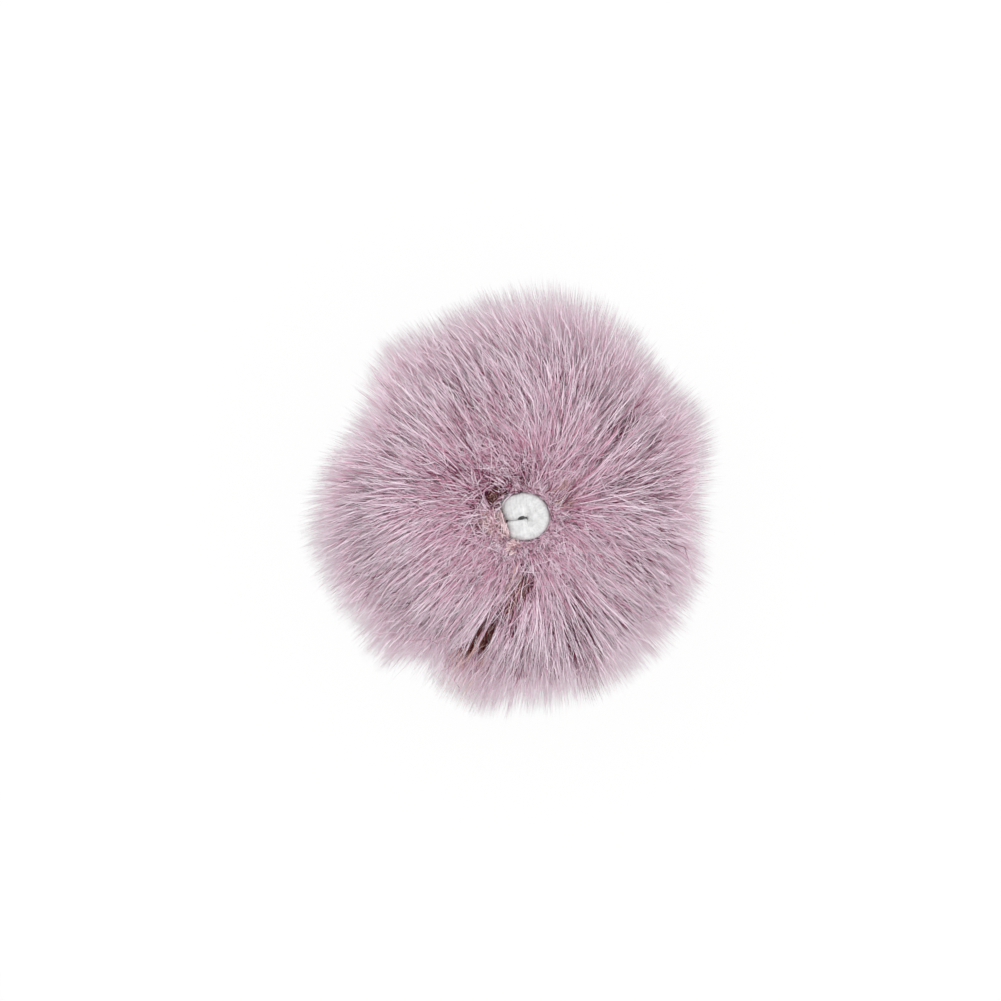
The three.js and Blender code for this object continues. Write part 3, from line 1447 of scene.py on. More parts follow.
    def top_over(self, points: Array) -> Array:
        """The height of the outer form's top, with the dimple at the gather.

        Args:
            points: points on the top or under it.

        Returns:
            The top's height over each of them.
        """
        from_gather = self.gather.away(points)
        from_middle = np.linalg.norm(points[:, :2] - np.array(self.middle), axis=1)
        share = np.clip(from_middle / self.width, 0, 1)
        out = np.clip((from_gather * (1 - share) + from_middle * share) / self.width, 0, 0.995)
        level = (1 - out**self.roundness) ** (1 / self.roundness)
        depth, spread = self.dimple
        sunk = depth * np.exp(-((from_gather / spread) ** 2))
        return self.waist_height + level * (self.high[2] - self.waist_height) - sunk

    def depth_of(self, points: Array) -> Array:
        """How deep points lie under the outer form's top."""
        return self.top_over(points) - points[:, 2]

    def neck_radius(self, azimuth: Array) -> Array:
        """Measures the gather's neck.

        Args:
            azimuth: directions from its middle, in radians.

        Returns:
            How far it reaches in each of them.
        """
        across, along = self.neck
        local = azimuth - self.gather.turn
        return across * along / np.hypot(along * np.cos(local), across * np.sin(local))

    def loop_reach(self, azimuth: Array) -> Array:
        """How far from the gather the elastic reaches, with the room round it.

        Args:
            azimuth: directions from the gather, in radians.

        Returns:
            Its reach in each of them, in millimetres.
        """
        shown = self.keep_off[self.keep_off[:, 2] > self.high[2] - self.loop_depth]
        spot = shown[:, :2] - np.array(self.gather.place)
        along = spot[:, :1] * np.cos(azimuth) + spot[:, 1:] * np.sin(azimuth)
        across = spot[:, 1:] * np.cos(azimuth) - spot[:, :1] * np.sin(azimuth)
        chord = np.sqrt(np.maximum(self.clearance**2 - across**2, 0))
        return np.where(chord > 0, along + chord, 0).max(axis=0)

    def ground(self, polar: Array, azimuth: Array) -> Array:
        """The ground cloth's outside.

        Args:
            polar: angles from straight up, seen from the ground's middle, in radians.
            azimuth: angles round it.

        Returns:
            The ground's points at those angles.
        """
        whole, start = np.radians(self.neck_angles)
        radius = self.ground_radius * np.sin(polar)
        radius = np.where(polar < math.pi / 2, np.maximum(radius, self.neck_radius(azimuth)), radius)
        necked = np.clip((start - polar) / (start - whole), 0, 1)
        height = self.ground_height + self.ground_half_height * np.cos(polar) + self.neck_rise * necked
        return np.column_stack([self.centre_at(polar) + radius[:, None] * spokes(azimuth), height])

    def _wisps(self, plan: RegionPlan, rng: Chance) -> Wisps:
        """Sets out a region's locks, and the wisps in them.

        Args:
            plan: the region's plan.
            rng: the source of chance.

        Returns:
            The wisps, lock by lock.
        """
        locks, stray = plan.locks, self.scatter
        root_range, tip_range = np.radians(plan.root), np.radians(plan.tip)
        even = np.arange(locks) * self.golden
        lock_turn = (even + rng.uniform(0, stray.lock_turn, locks)) % 1 * TURN
        cosines = np.cos(root_range)
        lock_root = np.arccos(rng.uniform(cosines[1], cosines[0], locks))
        share = (lock_root - root_range[0]) / np.ptp(root_range) + rng.normal(0, stray.lock_order, locks)
        lock_tip = tip_range[0] + np.clip(share, 0, 1) * np.ptp(tip_range)
        lock_swing = rng.normal(0, stray.lock_swing, locks)

        lock = np.repeat(np.arange(locks), plan.wisps)
        count = len(lock)
        turn = lock_turn[lock] + rng.normal(0, stray.wisp_turn, count)
        root = lock_root[lock] + rng.normal(0, stray.wisp_root, count)
        tip = np.clip(lock_tip[lock] + rng.normal(0, stray.wisp_tip, count), *self.tip_angles)
        ended, whole = self.lean_angles
        lean = np.tan(self.lean_round(turn)) * np.clip((ended - tip) / (ended - whole), 0, 1)
        swing = lock_swing[lock] + rng.normal(0, stray.wisp_swing, count)
        ragged = self.ragged_round(turn) * rng.uniform(0, 1, count) ** stray.ragged_power
        tone = rng.normal(0, stray.lock_tone, locks)[lock] + rng.normal(0, stray.wisp_tone, count)
        return Wisps(turn, root, tip, lean, swing, ragged, tone, rng.uniform(*plan.arch, count))

    def plant(self, plan: RegionPlan, rng: Chance) -> Hairs:
        """Plants one region.

        Args:
            plan: the region's plan.
            rng: the source of chance.

        Returns:
            Its hairs, combed.
        """
        wisps, stray = self._wisps(plan, rng), self.scatter
        wisp = np.repeat(np.arange(len(wisps.turn)), plan.strands)
        total = len(wisp)
        loose = rng.uniform(0, 1, total) < self.loose_share
        azimuth = wisps.turn - wisps.lean * self.root_lean + wisps.swing * self.root_swing
        azimuth = azimuth[wisp] + rng.normal(0, stray.hair_turn, total)
        polar = np.clip(wisps.root[wisp] + rng.normal(0, stray.hair_root, total), *self.root_angles)
        root = self.ground(polar, azimuth)
        tip = self.outer(wisps.tip, wisps.turn + wisps.lean * self.tip_lean + wisps.swing)[wisp]
        chord = tip - root
        reach = np.linalg.norm(chord, axis=1)
        fallen = wisps.ragged[wisp] + stray.fall * rng.uniform(0, 1, total) ** stray.fall_power
        tip = root + chord * (1 - fallen / reach)[:, None]
        astray = rng.normal(0, 1, (total, 3)) * np.where(loose, stray.tip[1], stray.tip[0])[:, None]
        along = chord / reach[:, None]
        tip += astray - along * np.sum(astray * along, axis=1, keepdims=True)
        tip[:, 2] = np.maximum(tip[:, 2], self.lowest)
        arch = wisps.arch[wisp] * rng.uniform(*stray.arch, total)
        bend = self.arched(root, tip, arch, wisps.lean[wisp], rng)
        bend += rng.normal(0, 1, (total, 3)) * np.where(loose, stray.bend[1], stray.bend[0])[:, None]
        radius = self.hair_radius * rng.uniform(*stray.thickness, total)
        hairs = Hairs(root, bend, tip, radius, np.zeros(total))
        # painted rim light and painted shade: tones grow paler towards the rim and darker where hairs lie
        # deep or end short
        shade, rimward, sunk = self.shading, self.rimward(tip), self.painted_depth_shade(hairs, fallen)
        shift = wisps.tone[wisp] * (1 - shade.evened * rimward) + shade.rim_light * rimward - sunk
        hairs.tone = self.toned(shift, plan.dark, rng, rimward)
        # more frosted hairs towards the rim as painted rim light, fewer deep down as painted shade
        share = plan.frosted + shade.frosted_rim_light * rimward - shade.frosted_sunk * sunk
        frosted = rng.uniform(0, 1, total) < share
        hairs.tone = np.where(frosted, Tone.FROSTED.pick(total, rng), hairs.tone)
        return self.combed(hairs, rng)

    def rimward(self, tip: Array) -> Array:
        """Says how near the rim hairs are, seen from above, for the painted rim light.

        Args:
            tip: their tips.

        Returns:
            0 in the middle, 1 at the rim.
        """
        outward = np.linalg.norm(tip[:, :2] - np.array(self.middle), axis=1) / self.width
        start, length, height = self.rim
        return np.clip((outward - start) / length, 0, 1) * np.clip(tip[:, 2] / height, 0, 1)

    def painted_depth_shade(self, hairs: Hairs, fallen: Array) -> Array:
        """Painted shade: how much darker hairs are that lie below the top or end short of the form.

        Args:
            hairs: the hairs.
            fallen: how far they end short of the form, in millimetres.

        Returns:
            The step down in tone of each hair.
        """
        shade, middle = self.shading, hairs.at(self.judged)
        depth = np.clip(self.depth_of(middle) / shade.scale - shade.slack, 0, 1)
        upper = np.clip((middle[:, 2] - self.waist_height) / self.shaded, 0, 1)
        return (shade.deep * depth + shade.short * np.clip(fallen / shade.scale, 0, 1)) * upper

    def arched(self, root: Array, tip: Array, arch: Array, lean: Array, rng: Chance) -> Array:
        """The points that hairs' middles lean towards, so that hairs on the top arch up to its form.

        Args:
            root: the hairs' roots.
            tip: their tips.
            arch: share of the way from the chord to the top that each middle rises.
            lean: tangent of the angle that each hair leans off straight out.
            rng: the source of chance.

        Returns:
            One point for each hair.
        """
        chord = tip - root
        bend = root + chord * rng.uniform(*self.scatter.middle, (len(root), 1))
        bend[:, :2] += self.bow * lean[:, None] * np.stack([chord[:, 1], -chord[:, 0]], axis=1)
        middle = (root + tip) / 4 + bend / 2
        upper = np.clip((middle[:, 2] - self.waist_height) / self.upper, 0, 1)
        bend[:, 2] += 2 * np.maximum(self.depth_of(middle), 0) * arch * upper
        bend[:, 2] = np.maximum(bend[:, 2], self.lowest)
        return bend

    def toned(self, shift: Array, share: float, rng: Chance, rimward: Array) -> Array:
        """Tones for hairs: most of them pale and the rest dark, the dark ones both varying the pile's tone
        and painting the shade between its locks; towards the rim they are fewer and paler, as painted
        rim light.

        Args:
            shift: how much paler than usual each hair is.
            share: share of dark hairs away from the rim.
            rng: the source of chance.
            rimward: how near the rim each hair's tip is.

        Returns:
            The tones.
        """
        count, shade = len(shift), self.shading
        pale = rng.normal(*shade.pale, count)
        dark = rng.uniform(*shade.dark, count) + shade.dark_rim_light * rimward
        is_dark = rng.uniform(0, 1, count) < share * (1 - shade.dark_fades * rimward**2)
        return np.clip(np.where(is_dark, dark, pale) + shift, *Tone.PLAIN.value)

    def felt(self, plan: FeltPlan, rng: Chance) -> Hairs:
        """Short curved hairs that lie felted on the top.

        Args:
            plan: how many, how long and how far astray they are.
            rng: the source of chance.

        Returns:
            The short hairs, combed.
        """
        clumps = plan.count // plan.clump
        count = clumps * plan.clump
        azimuth = np.repeat(rng.uniform(0, TURN, clumps), plan.clump)
        share = np.repeat(rng.beta(*plan.spread, clumps), plan.clump)
        inner = np.maximum(self.loop_reach(azimuth), self.neck_share * self.neck_radius(azimuth))
        away = inner + plan.width * share
        if plan.clump > 1:
            away += rng.normal(0, plan.clump_spread[0], count)
            azimuth += rng.normal(0, plan.clump_spread[1], count) / away
        root = np.zeros((count, 3))
        root[:, :2] = np.array(self.gather.place) + away[:, None] * spokes(azimuth)
        root[:, 2] = self.top_over(root) - rng.uniform(*plan.depth, count)
        far = plan.far + self.mess_round(azimuth) / plan.clump * (1 - share**2)
        spread = plan.near + (far - plan.near) * share
        astray = rng.standard_t(self.stray_tails, count) * self.stray_scale * spread
        heading = azimuth + self.lean_round(azimuth) + astray
        reach = rng.uniform(*plan.length, count)
        tip = root.copy()
        tip[:, :2] += reach[:, None] * spokes(heading)
        tip[:, 2] = self.top_over(tip) - rng.exponential(plan.droop, count) - plan.sunk
        bend = root + (tip - root) * rng.uniform(*plan.middle, (count, 1))
        bend[:, :2] += rng.normal(0, plan.curl, (count, 2)) * reach[:, None]
        bend[:, 2] = self.top_over(bend) + rng.uniform(*plan.lift, count) * (1 - plan.sunk) - plan.sunk
        # painted rim light: towards the rim more felted hairs take their plan's own tone, frosted for most
        rimward = self.rimward(tip)
        tone = self.toned(np.zeros(count), self.dark_share, rng, rimward)
        odd = rng.uniform(0, 1, count) < plan.odd + self.shading.odd_rim_light * rimward
        tone = np.where(odd, plan.tone.pick(count, rng), tone)
        radius = self.hair_radius * rng.uniform(*plan.thickness, count)
        offset = tip[:, :2] - np.array(self.middle)
        rim = self.width + self.reach_round(np.arctan2(offset[:, 1], offset[:, 0]))
        within = np.linalg.norm(offset, axis=1) < rim - plan.inset[0] - plan.inset[1] * plan.sunk
        return self.combed(Hairs(root, bend, tip, radius, tone).where(within), rng)

    def laid_in(self, parting: Parting, rng: Chance) -> Hairs:
        """Dark hairs that lie down in a parting, as painted shade in its gap.

        Args:
            parting: the parting.
            rng: the source of chance.

        Returns:
            The dark hairs.
        """
        count = parting.dark
        start, end = np.array(parting.start), np.array(parting.end)
        along = end - start
        across = np.array([-along[1], along[0]]) / np.linalg.norm(along)
        place = rng.uniform(*parting.laid, count)[:, None]
        aside = rng.uniform(-1.0, 1.0, (count, 1)) * (parting.bare + parting.laid_beside)
        root = np.zeros((count, 3))
        root[:, :2] = start + along * place + across * aside
        tip = root.copy()
        tip[:, :2] += along * rng.uniform(*parting.laid_length, (count, 1))
        tip[:, :2] += across * rng.normal(0, parting.laid_aside, (count, 1))
        root[:, 2] = self.top_over(root) - parting.depth * rng.uniform(*parting.root_depth, count)
        tip[:, 2] = self.top_over(tip) - parting.depth * rng.uniform(*parting.tip_depth, count)
        bend = (root + tip) / 2 + rng.normal(0, parting.laid_bend, (count, 3))
        radius = self.hair_radius * rng.uniform(*parting.thickness, count)
        odd = Tone.SALMON if parting.tone is Tone.UMBER else Tone.PLAIN
        stained = rng.uniform(0, 1, count) < parting.stained
        tone = np.where(stained, odd.pick(count, rng), parting.tone.pick(count, rng))
        return Hairs(root, bend, tip, radius, tone)

    def clear_of_loop(self, hairs: Hairs) -> Hairs:
        """Leaves out hairs that come too near the elastic.

        Args:
            hairs: the hairs.

        Returns:
            Those that stay.
        """
        touches = np.zeros(len(hairs), bool)
        for share in np.linspace(*self.loop_places):
            points = hairs.at(share)
            near = self.gather.away(points) < self.loop_zone
            away = np.linalg.norm(points[near][:, None] - self.keep_off[None], axis=2).min(axis=1)
            touches[near] |= away < self.clearance
        return hairs.where(~touches)

    def combed(self, hairs: Hairs, rng: Chance) -> Hairs:
        """Combs hairs aside from the partings and tints them.

        Args:
            hairs: the hairs as planted.
            rng: the source of chance.

        Returns:
            Those that stay.
        """
        for parting in self.partings:
            hairs.bend = parting.comb(hairs.bend)
            hairs.tip = parting.comb(hairs.tip)
            above = np.zeros(len(hairs), bool)
            for share in np.linspace(*self.comb_places):
                points = hairs.at(share)
                above |= parting.lies_over(points) & (self.depth_of(points) < parting.depth)
            hairs = hairs.where(~above | (rng.uniform(0, 1, len(hairs)) < parting.crossed))
        for tint in self.tints:
            away = (hairs.at(self.tinted)[:, :2] - np.array(tint.place)) / np.array(tint.size)
            stained = (np.sum(away**2, axis=1) < 1) & (rng.uniform(0, 1, len(hairs)) < tint.share)
            hairs.tone = np.where(stained, tint.tone.pick(len(hairs), rng), hairs.tone)
        return self.clear_of_loop(hairs)

    def build(self) -> list[Piece]:
        """Builds the pile, region by region.

        Returns:
            Its pieces.
        """
        rng = np.random.default_rng(self.seed)
        batches = [(plan.region.value, self.plant(plan, rng), plan.segments) for plan in self.plans]
        batches += [(plan.name, self.felt(plan, rng), plan.segments) for plan in self.felts]
        laid = Hairs.joined([self.laid_in(parting, rng) for parting in self.partings])
        batches.append(("pile_partings", self.clear_of_loop(laid), 3))
        return [HairBuilder.with_segments(segments).build(name, hairs) for name, hairs, segments in batches]

    def dress(self, pieces: Sequence[Piece], finish: FurFinish) -> None:
        """Gives the pieces their finish and body.

        Args:
            pieces: the pile's pieces.
            finish: their finish.
        """
        material = finish.material()
        for piece in pieces:
            hand_over(piece, material, "fur_ball", Slot.FUR)


# ---- the ground


@dataclass(frozen=True)
class EdgeRow:
    """One row of the ground's raw edge round the loop's legs.

    Attributes:
        low: its height where it lies hidden, in millimetres.
        high: its height where the flap stands up at the loop's left.
        wide: its reach where it lies hidden, as a share of the well's half widths.
        flap: its reach along the flap.
        ruffle: how much its pleats show.
    """

    low: float
    high: float
    wide: float
    flap: float
    ruffle: float


@dataclass
class Ground:
    """The fur cloth's knitted ground, drawn up into a pouch with its raw edge round the loop's legs.

    Attributes:
        fur: the pile, which gives the pouch its form.
        cut_diameter: diameter that the disc was cut to, in millimetres.
        well: half widths of the well that the loop's legs go down, in millimetres.
        pouch_angles: first, end and step of the pouch's rings, in degrees from straight up.
        flap_middle: where the flap's middle is, seen from the gather, in radians.
        flap_edge: how sharply it ends.
        flap_spread: how much further out it lies at flap_scale from its middle, as a share of the well.
        uneven: numbers and sizes of the waves that space the pleats unevenly.
        pleat_out: how far they stand out, as a share of the well.
        pleat_up: how far they stand up, in millimetres.
        map_step: the cloth's size between two points and between two rings, in millimetres.
    """

    fur: FurBall
    cut_diameter: float = 56.0
    around: int = 120
    thickness: float = 0.55
    well: Pair = (2.45, 4.35)
    pouch_angles: tuple[int, int, int] = (176, 24, -6)
    flap_middle: float = math.radians(197)
    flap_half_width: float = math.radians(64)
    flap_edge: int = 6
    flap_spread: float = 0.26
    flap_scale: float = math.radians(58)
    pleats: int = 13
    uneven: tuple[tuple[int, float], ...] = ((2, 1.1), (5, 0.6))
    pleat_out: float = 0.05
    pleat_up: float = 0.15
    map_step: Pair = (0.4, 1.0)

    edge_rows: ClassVar[tuple[EdgeRow, ...]] = (
        EdgeRow(38.6, 40.2, 1.06, 1.12, 0.2),
        EdgeRow(38.7, 41.6, 1.00, 1.05, 0.3),
        EdgeRow(38.8, 43.0, 0.98, 0.98, 0.4),
        EdgeRow(38.9, 44.2, 0.96, 0.90, 0.5),
        EdgeRow(39.0, 45.0, 0.96, 0.80, 0.6),
        EdgeRow(39.1, 45.6, 0.96, 0.63, 0.6),
        EdgeRow(39.2, 46.0, 0.96, 0.46, 0.5),
    )

    def edge_ring(self, row: EdgeRow, azimuth: Array) -> Array:
        """One row of the raw edge.

        Args:
            row: the row.
            azimuth: angles seen along the gather's own axes, in radians.

        Returns:
            The row's points at those angles.
        """
        away = (azimuth - self.flap_middle + math.pi) % TURN - math.pi
        rise = np.exp(-((away / self.flap_half_width) ** self.flap_edge))
        uneven = sum(size * np.sin(waves * azimuth) for waves, size in self.uneven)
        wave = row.ruffle * np.cos(self.pleats * azimuth + uneven)
        flap = row.flap + self.flap_spread * (away / self.flap_scale) ** 2
        width = row.wide + (flap - row.wide) * rise + self.pleat_out * wave
        height = row.low + (row.high - row.low) * rise + self.pleat_up * wave * rise
        across = self.well[0] * width * np.cos(azimuth)
        along = self.well[1] * width * np.sin(azimuth)
        return self.fur.gather.placed(across, along, height)

    def rows(self) -> list[Array]:
        """Works out the cloth's rings from the crown up and out along its raw edge.

        Returns:
            The rings' points.
        """
        azimuth = np.arange(self.around) / self.around * TURN
        turned = azimuth + self.fur.gather.turn
        angles = (np.full(self.around, math.radians(degrees)) for degrees in range(*self.pouch_angles))
        pouch = [self.fur.ground(polar, turned) for polar in angles]
        return pouch + [self.edge_ring(row, azimuth) for row in self.edge_rows]

    def build(self) -> Piece:
        """Builds the cloth as one sheet, and gives it its thickness.

        Returns:
            Its piece.
        """
        rows, skin = self.rows(), Skin("knitted_ground", CLOTH_MAP)
        across, up = self.map_step
        skin.add(rows, np.arange(self.around + 1) * across, np.arange(len(rows)) * up, closed=False)
        piece = skin.piece()
        wall = piece.modifiers.new("thickness", "SOLIDIFY")
        wall.thickness = self.thickness * MM
        wall.offset = 0
        return piece

    def dress(self, piece: Piece, finish: KnitFinish) -> None:
        """Gives the cloth its finish and body.

        Args:
            piece: the cloth.
            finish: its finish.
        """
        hand_over(piece, finish.material(), "fur_ball", Slot.FUR)
        side = self.cut_diameter * MM
        area = math.pi * (self.cut_diameter / 2 * MM) ** 2


@dataclass(frozen=True)
class CurlPatch:
    """A spot by the raw edge where yarn ends curl out over the pile.

    Attributes:
        place: the spot's middle, in millimetres.
        size: half its sides.
        count: how many ends there are.
        length: range of their lengths.
        height: range of how far they start above the pile's top.
        swing: range of the half widths of their turns.
    """

    place: Pair
    size: Pair
    count: int
    length: Pair
    height: Pair
    swing: Pair


@dataclass
class FrayedEdge:
    """Curled ends of yarn along the ground's raw edge, thickest at the loop's lower left.

    Lengths are in millimetres.

    Attributes:
        ground: the cloth that they come out of.
        lying: how many strands lie along the flap's rim.
        rim_start: range of where they start, in degrees.
        rim_length: range of how far they go, in degrees.
        rim_share: range of how far out on the flap they lie, as shares of its top rows.
        rim_lift: range of how high they lie on it.
        rim_wave: how far they wave up and down.
        rim_waves: range of how many waves they would have all round.
        curl_tilt: most that a curl's axis tilts up or down.
        curl_turns: range of how many turns it has.
        curl_growth: how fast its turns widen.
        curl_flat: height of its turns, as a share of their width.
        strip: width that one strand takes of the map.
        aside: a direction that no strand follows.
    """

    ground: Ground
    yarn_radius: float = 0.06
    lying: int = 60
    rim_start: Pair = (128, 228)
    rim_length: Pair = (18, 45)
    rim_share: Pair = (-0.15, 1.1)
    rim_lift: Pair = (0.3, 0.6)
    rim_wave: float = 0.12
    rim_waves: Pair = (6, 14)
    curl_tilt: float = 0.3
    curl_turns: Pair = (0.7, 2.0)
    curl_growth: float = 3.0
    curl_flat: float = 0.7
    steps: int = 16
    sides: int = 4
    strip: float = 0.02
    paler: float = 0.98
    aside: tuple[float, float, float] = (0.31, 0.17, 0.93)
    seed: int = 21

    patches: ClassVar[tuple[CurlPatch, ...]] = (
        CurlPatch((0.0, -7.7), (1.0, 1.2), 22, (0.3, 1.1), (0.8, 1.6), (0.28, 0.55)),
        CurlPatch((-3.5, -3.8), (1.0, 1.4), 34, (0.8, 2.6), (-0.2, 0.6), (0.08, 0.25)),
        CurlPatch((-2.2, -6.0), (0.7, 1.2), 18, (0.6, 1.8), (-0.2, 0.6), (0.10, 0.30)),
    )

    def build(self) -> Piece:
        """Builds all the strands as one mesh.

        Returns:
            Their piece.
        """
        rng = np.random.default_rng(self.seed)
        lines = [self._along_rim(rng) for _ in range(self.lying)]
        for patch in self.patches:
            lines += [self._curl(patch, rng) for _ in range(patch.count)]
        skin = Skin("frayed_edge", HAIR_MAP)
        across, up = np.arange(self.sides + 1) * self.strip / self.sides, np.arange(self.steps) / self.steps
        for line in lines:
            away = np.linalg.norm(line[:, None] - self.ground.fur.keep_off[None], axis=2).min()
            if away > self.ground.fur.clearance:
                skin.add(self._rings(line), rng.uniform(0, self.paler) + across, up)
        return skin.piece()

    def _along_rim(self, rng: Chance) -> Array:
        """The centre line of a loose strand that lies along the flap's rim.

        Args:
            rng: the source of chance.

        Returns:
            The line's points.
        """
        first = math.radians(rng.uniform(*self.rim_start))
        azimuth = first + np.linspace(0, math.radians(rng.uniform(*self.rim_length)), self.steps)
        rows = self.ground.edge_rows
        inner = self.ground.edge_ring(rows[-1], azimuth)
        outer = self.ground.edge_ring(rows[-3], azimuth)
        start, end = rng.uniform(*self.rim_share, 2)
        share = (start + (end - start) * np.linspace(0, 1, self.steps))[:, None]
        line = inner + share * (outer - inner)
        line[:, 2] += rng.uniform(*self.rim_lift)
        line[:, 2] += self.rim_wave * np.sin(azimuth * rng.uniform(*self.rim_waves))
        return line

    def _curl(self, patch: CurlPatch, rng: Chance) -> Array:
        """The centre line of one curl.

        Args:
            patch: the spot where it is.
            rng: the source of chance.

        Returns:
            The line's points.
        """
        start = np.zeros(3)
        start[:2] = np.array(patch.place) + rng.normal(0, 0.5, 2) * np.array(patch.size)
        start[2] = self.ground.fur.top_over(start[None])[0] + rng.uniform(*patch.height)
        heading = rng.uniform(0, TURN)
        tilt = rng.uniform(-self.curl_tilt, self.curl_tilt)
        forward = unit(np.array([math.cos(heading), math.sin(heading), tilt]))
        side = unit(np.cross(forward, UP))
        lift = np.cross(side, forward)
        share = np.linspace(0, 1, self.steps)
        angle = rng.uniform(0, TURN) + rng.uniform(*self.curl_turns) * TURN * share
        grown = np.minimum(share * self.curl_growth, 1)[:, None] * rng.uniform(*patch.swing)
        swirl = np.cos(angle)[:, None] * side + np.sin(angle)[:, None] * lift * self.curl_flat
        length = rng.uniform(*patch.length)
        return start + (share - 0.5)[:, None] * length * forward + grown * swirl

    def _rings(self, line: Array) -> Array:
        """Works out rings of points round a strand.

        Args:
            line: its centre line.

        Returns:
            The rings.
        """
        along = unit(np.gradient(line, axis=0))
        side = unit(np.cross(along, self.aside))
        out = round_about(side, np.cross(along, side), self.sides)
        return line[:, None] + self.yarn_radius * out

    def dress(self, piece: Piece, finish: YarnFinish) -> None:
        """Gives the strands their finish and body."""
        hand_over(piece, finish.material(), "fur_ball", Slot.FUR)


# ---- the loop


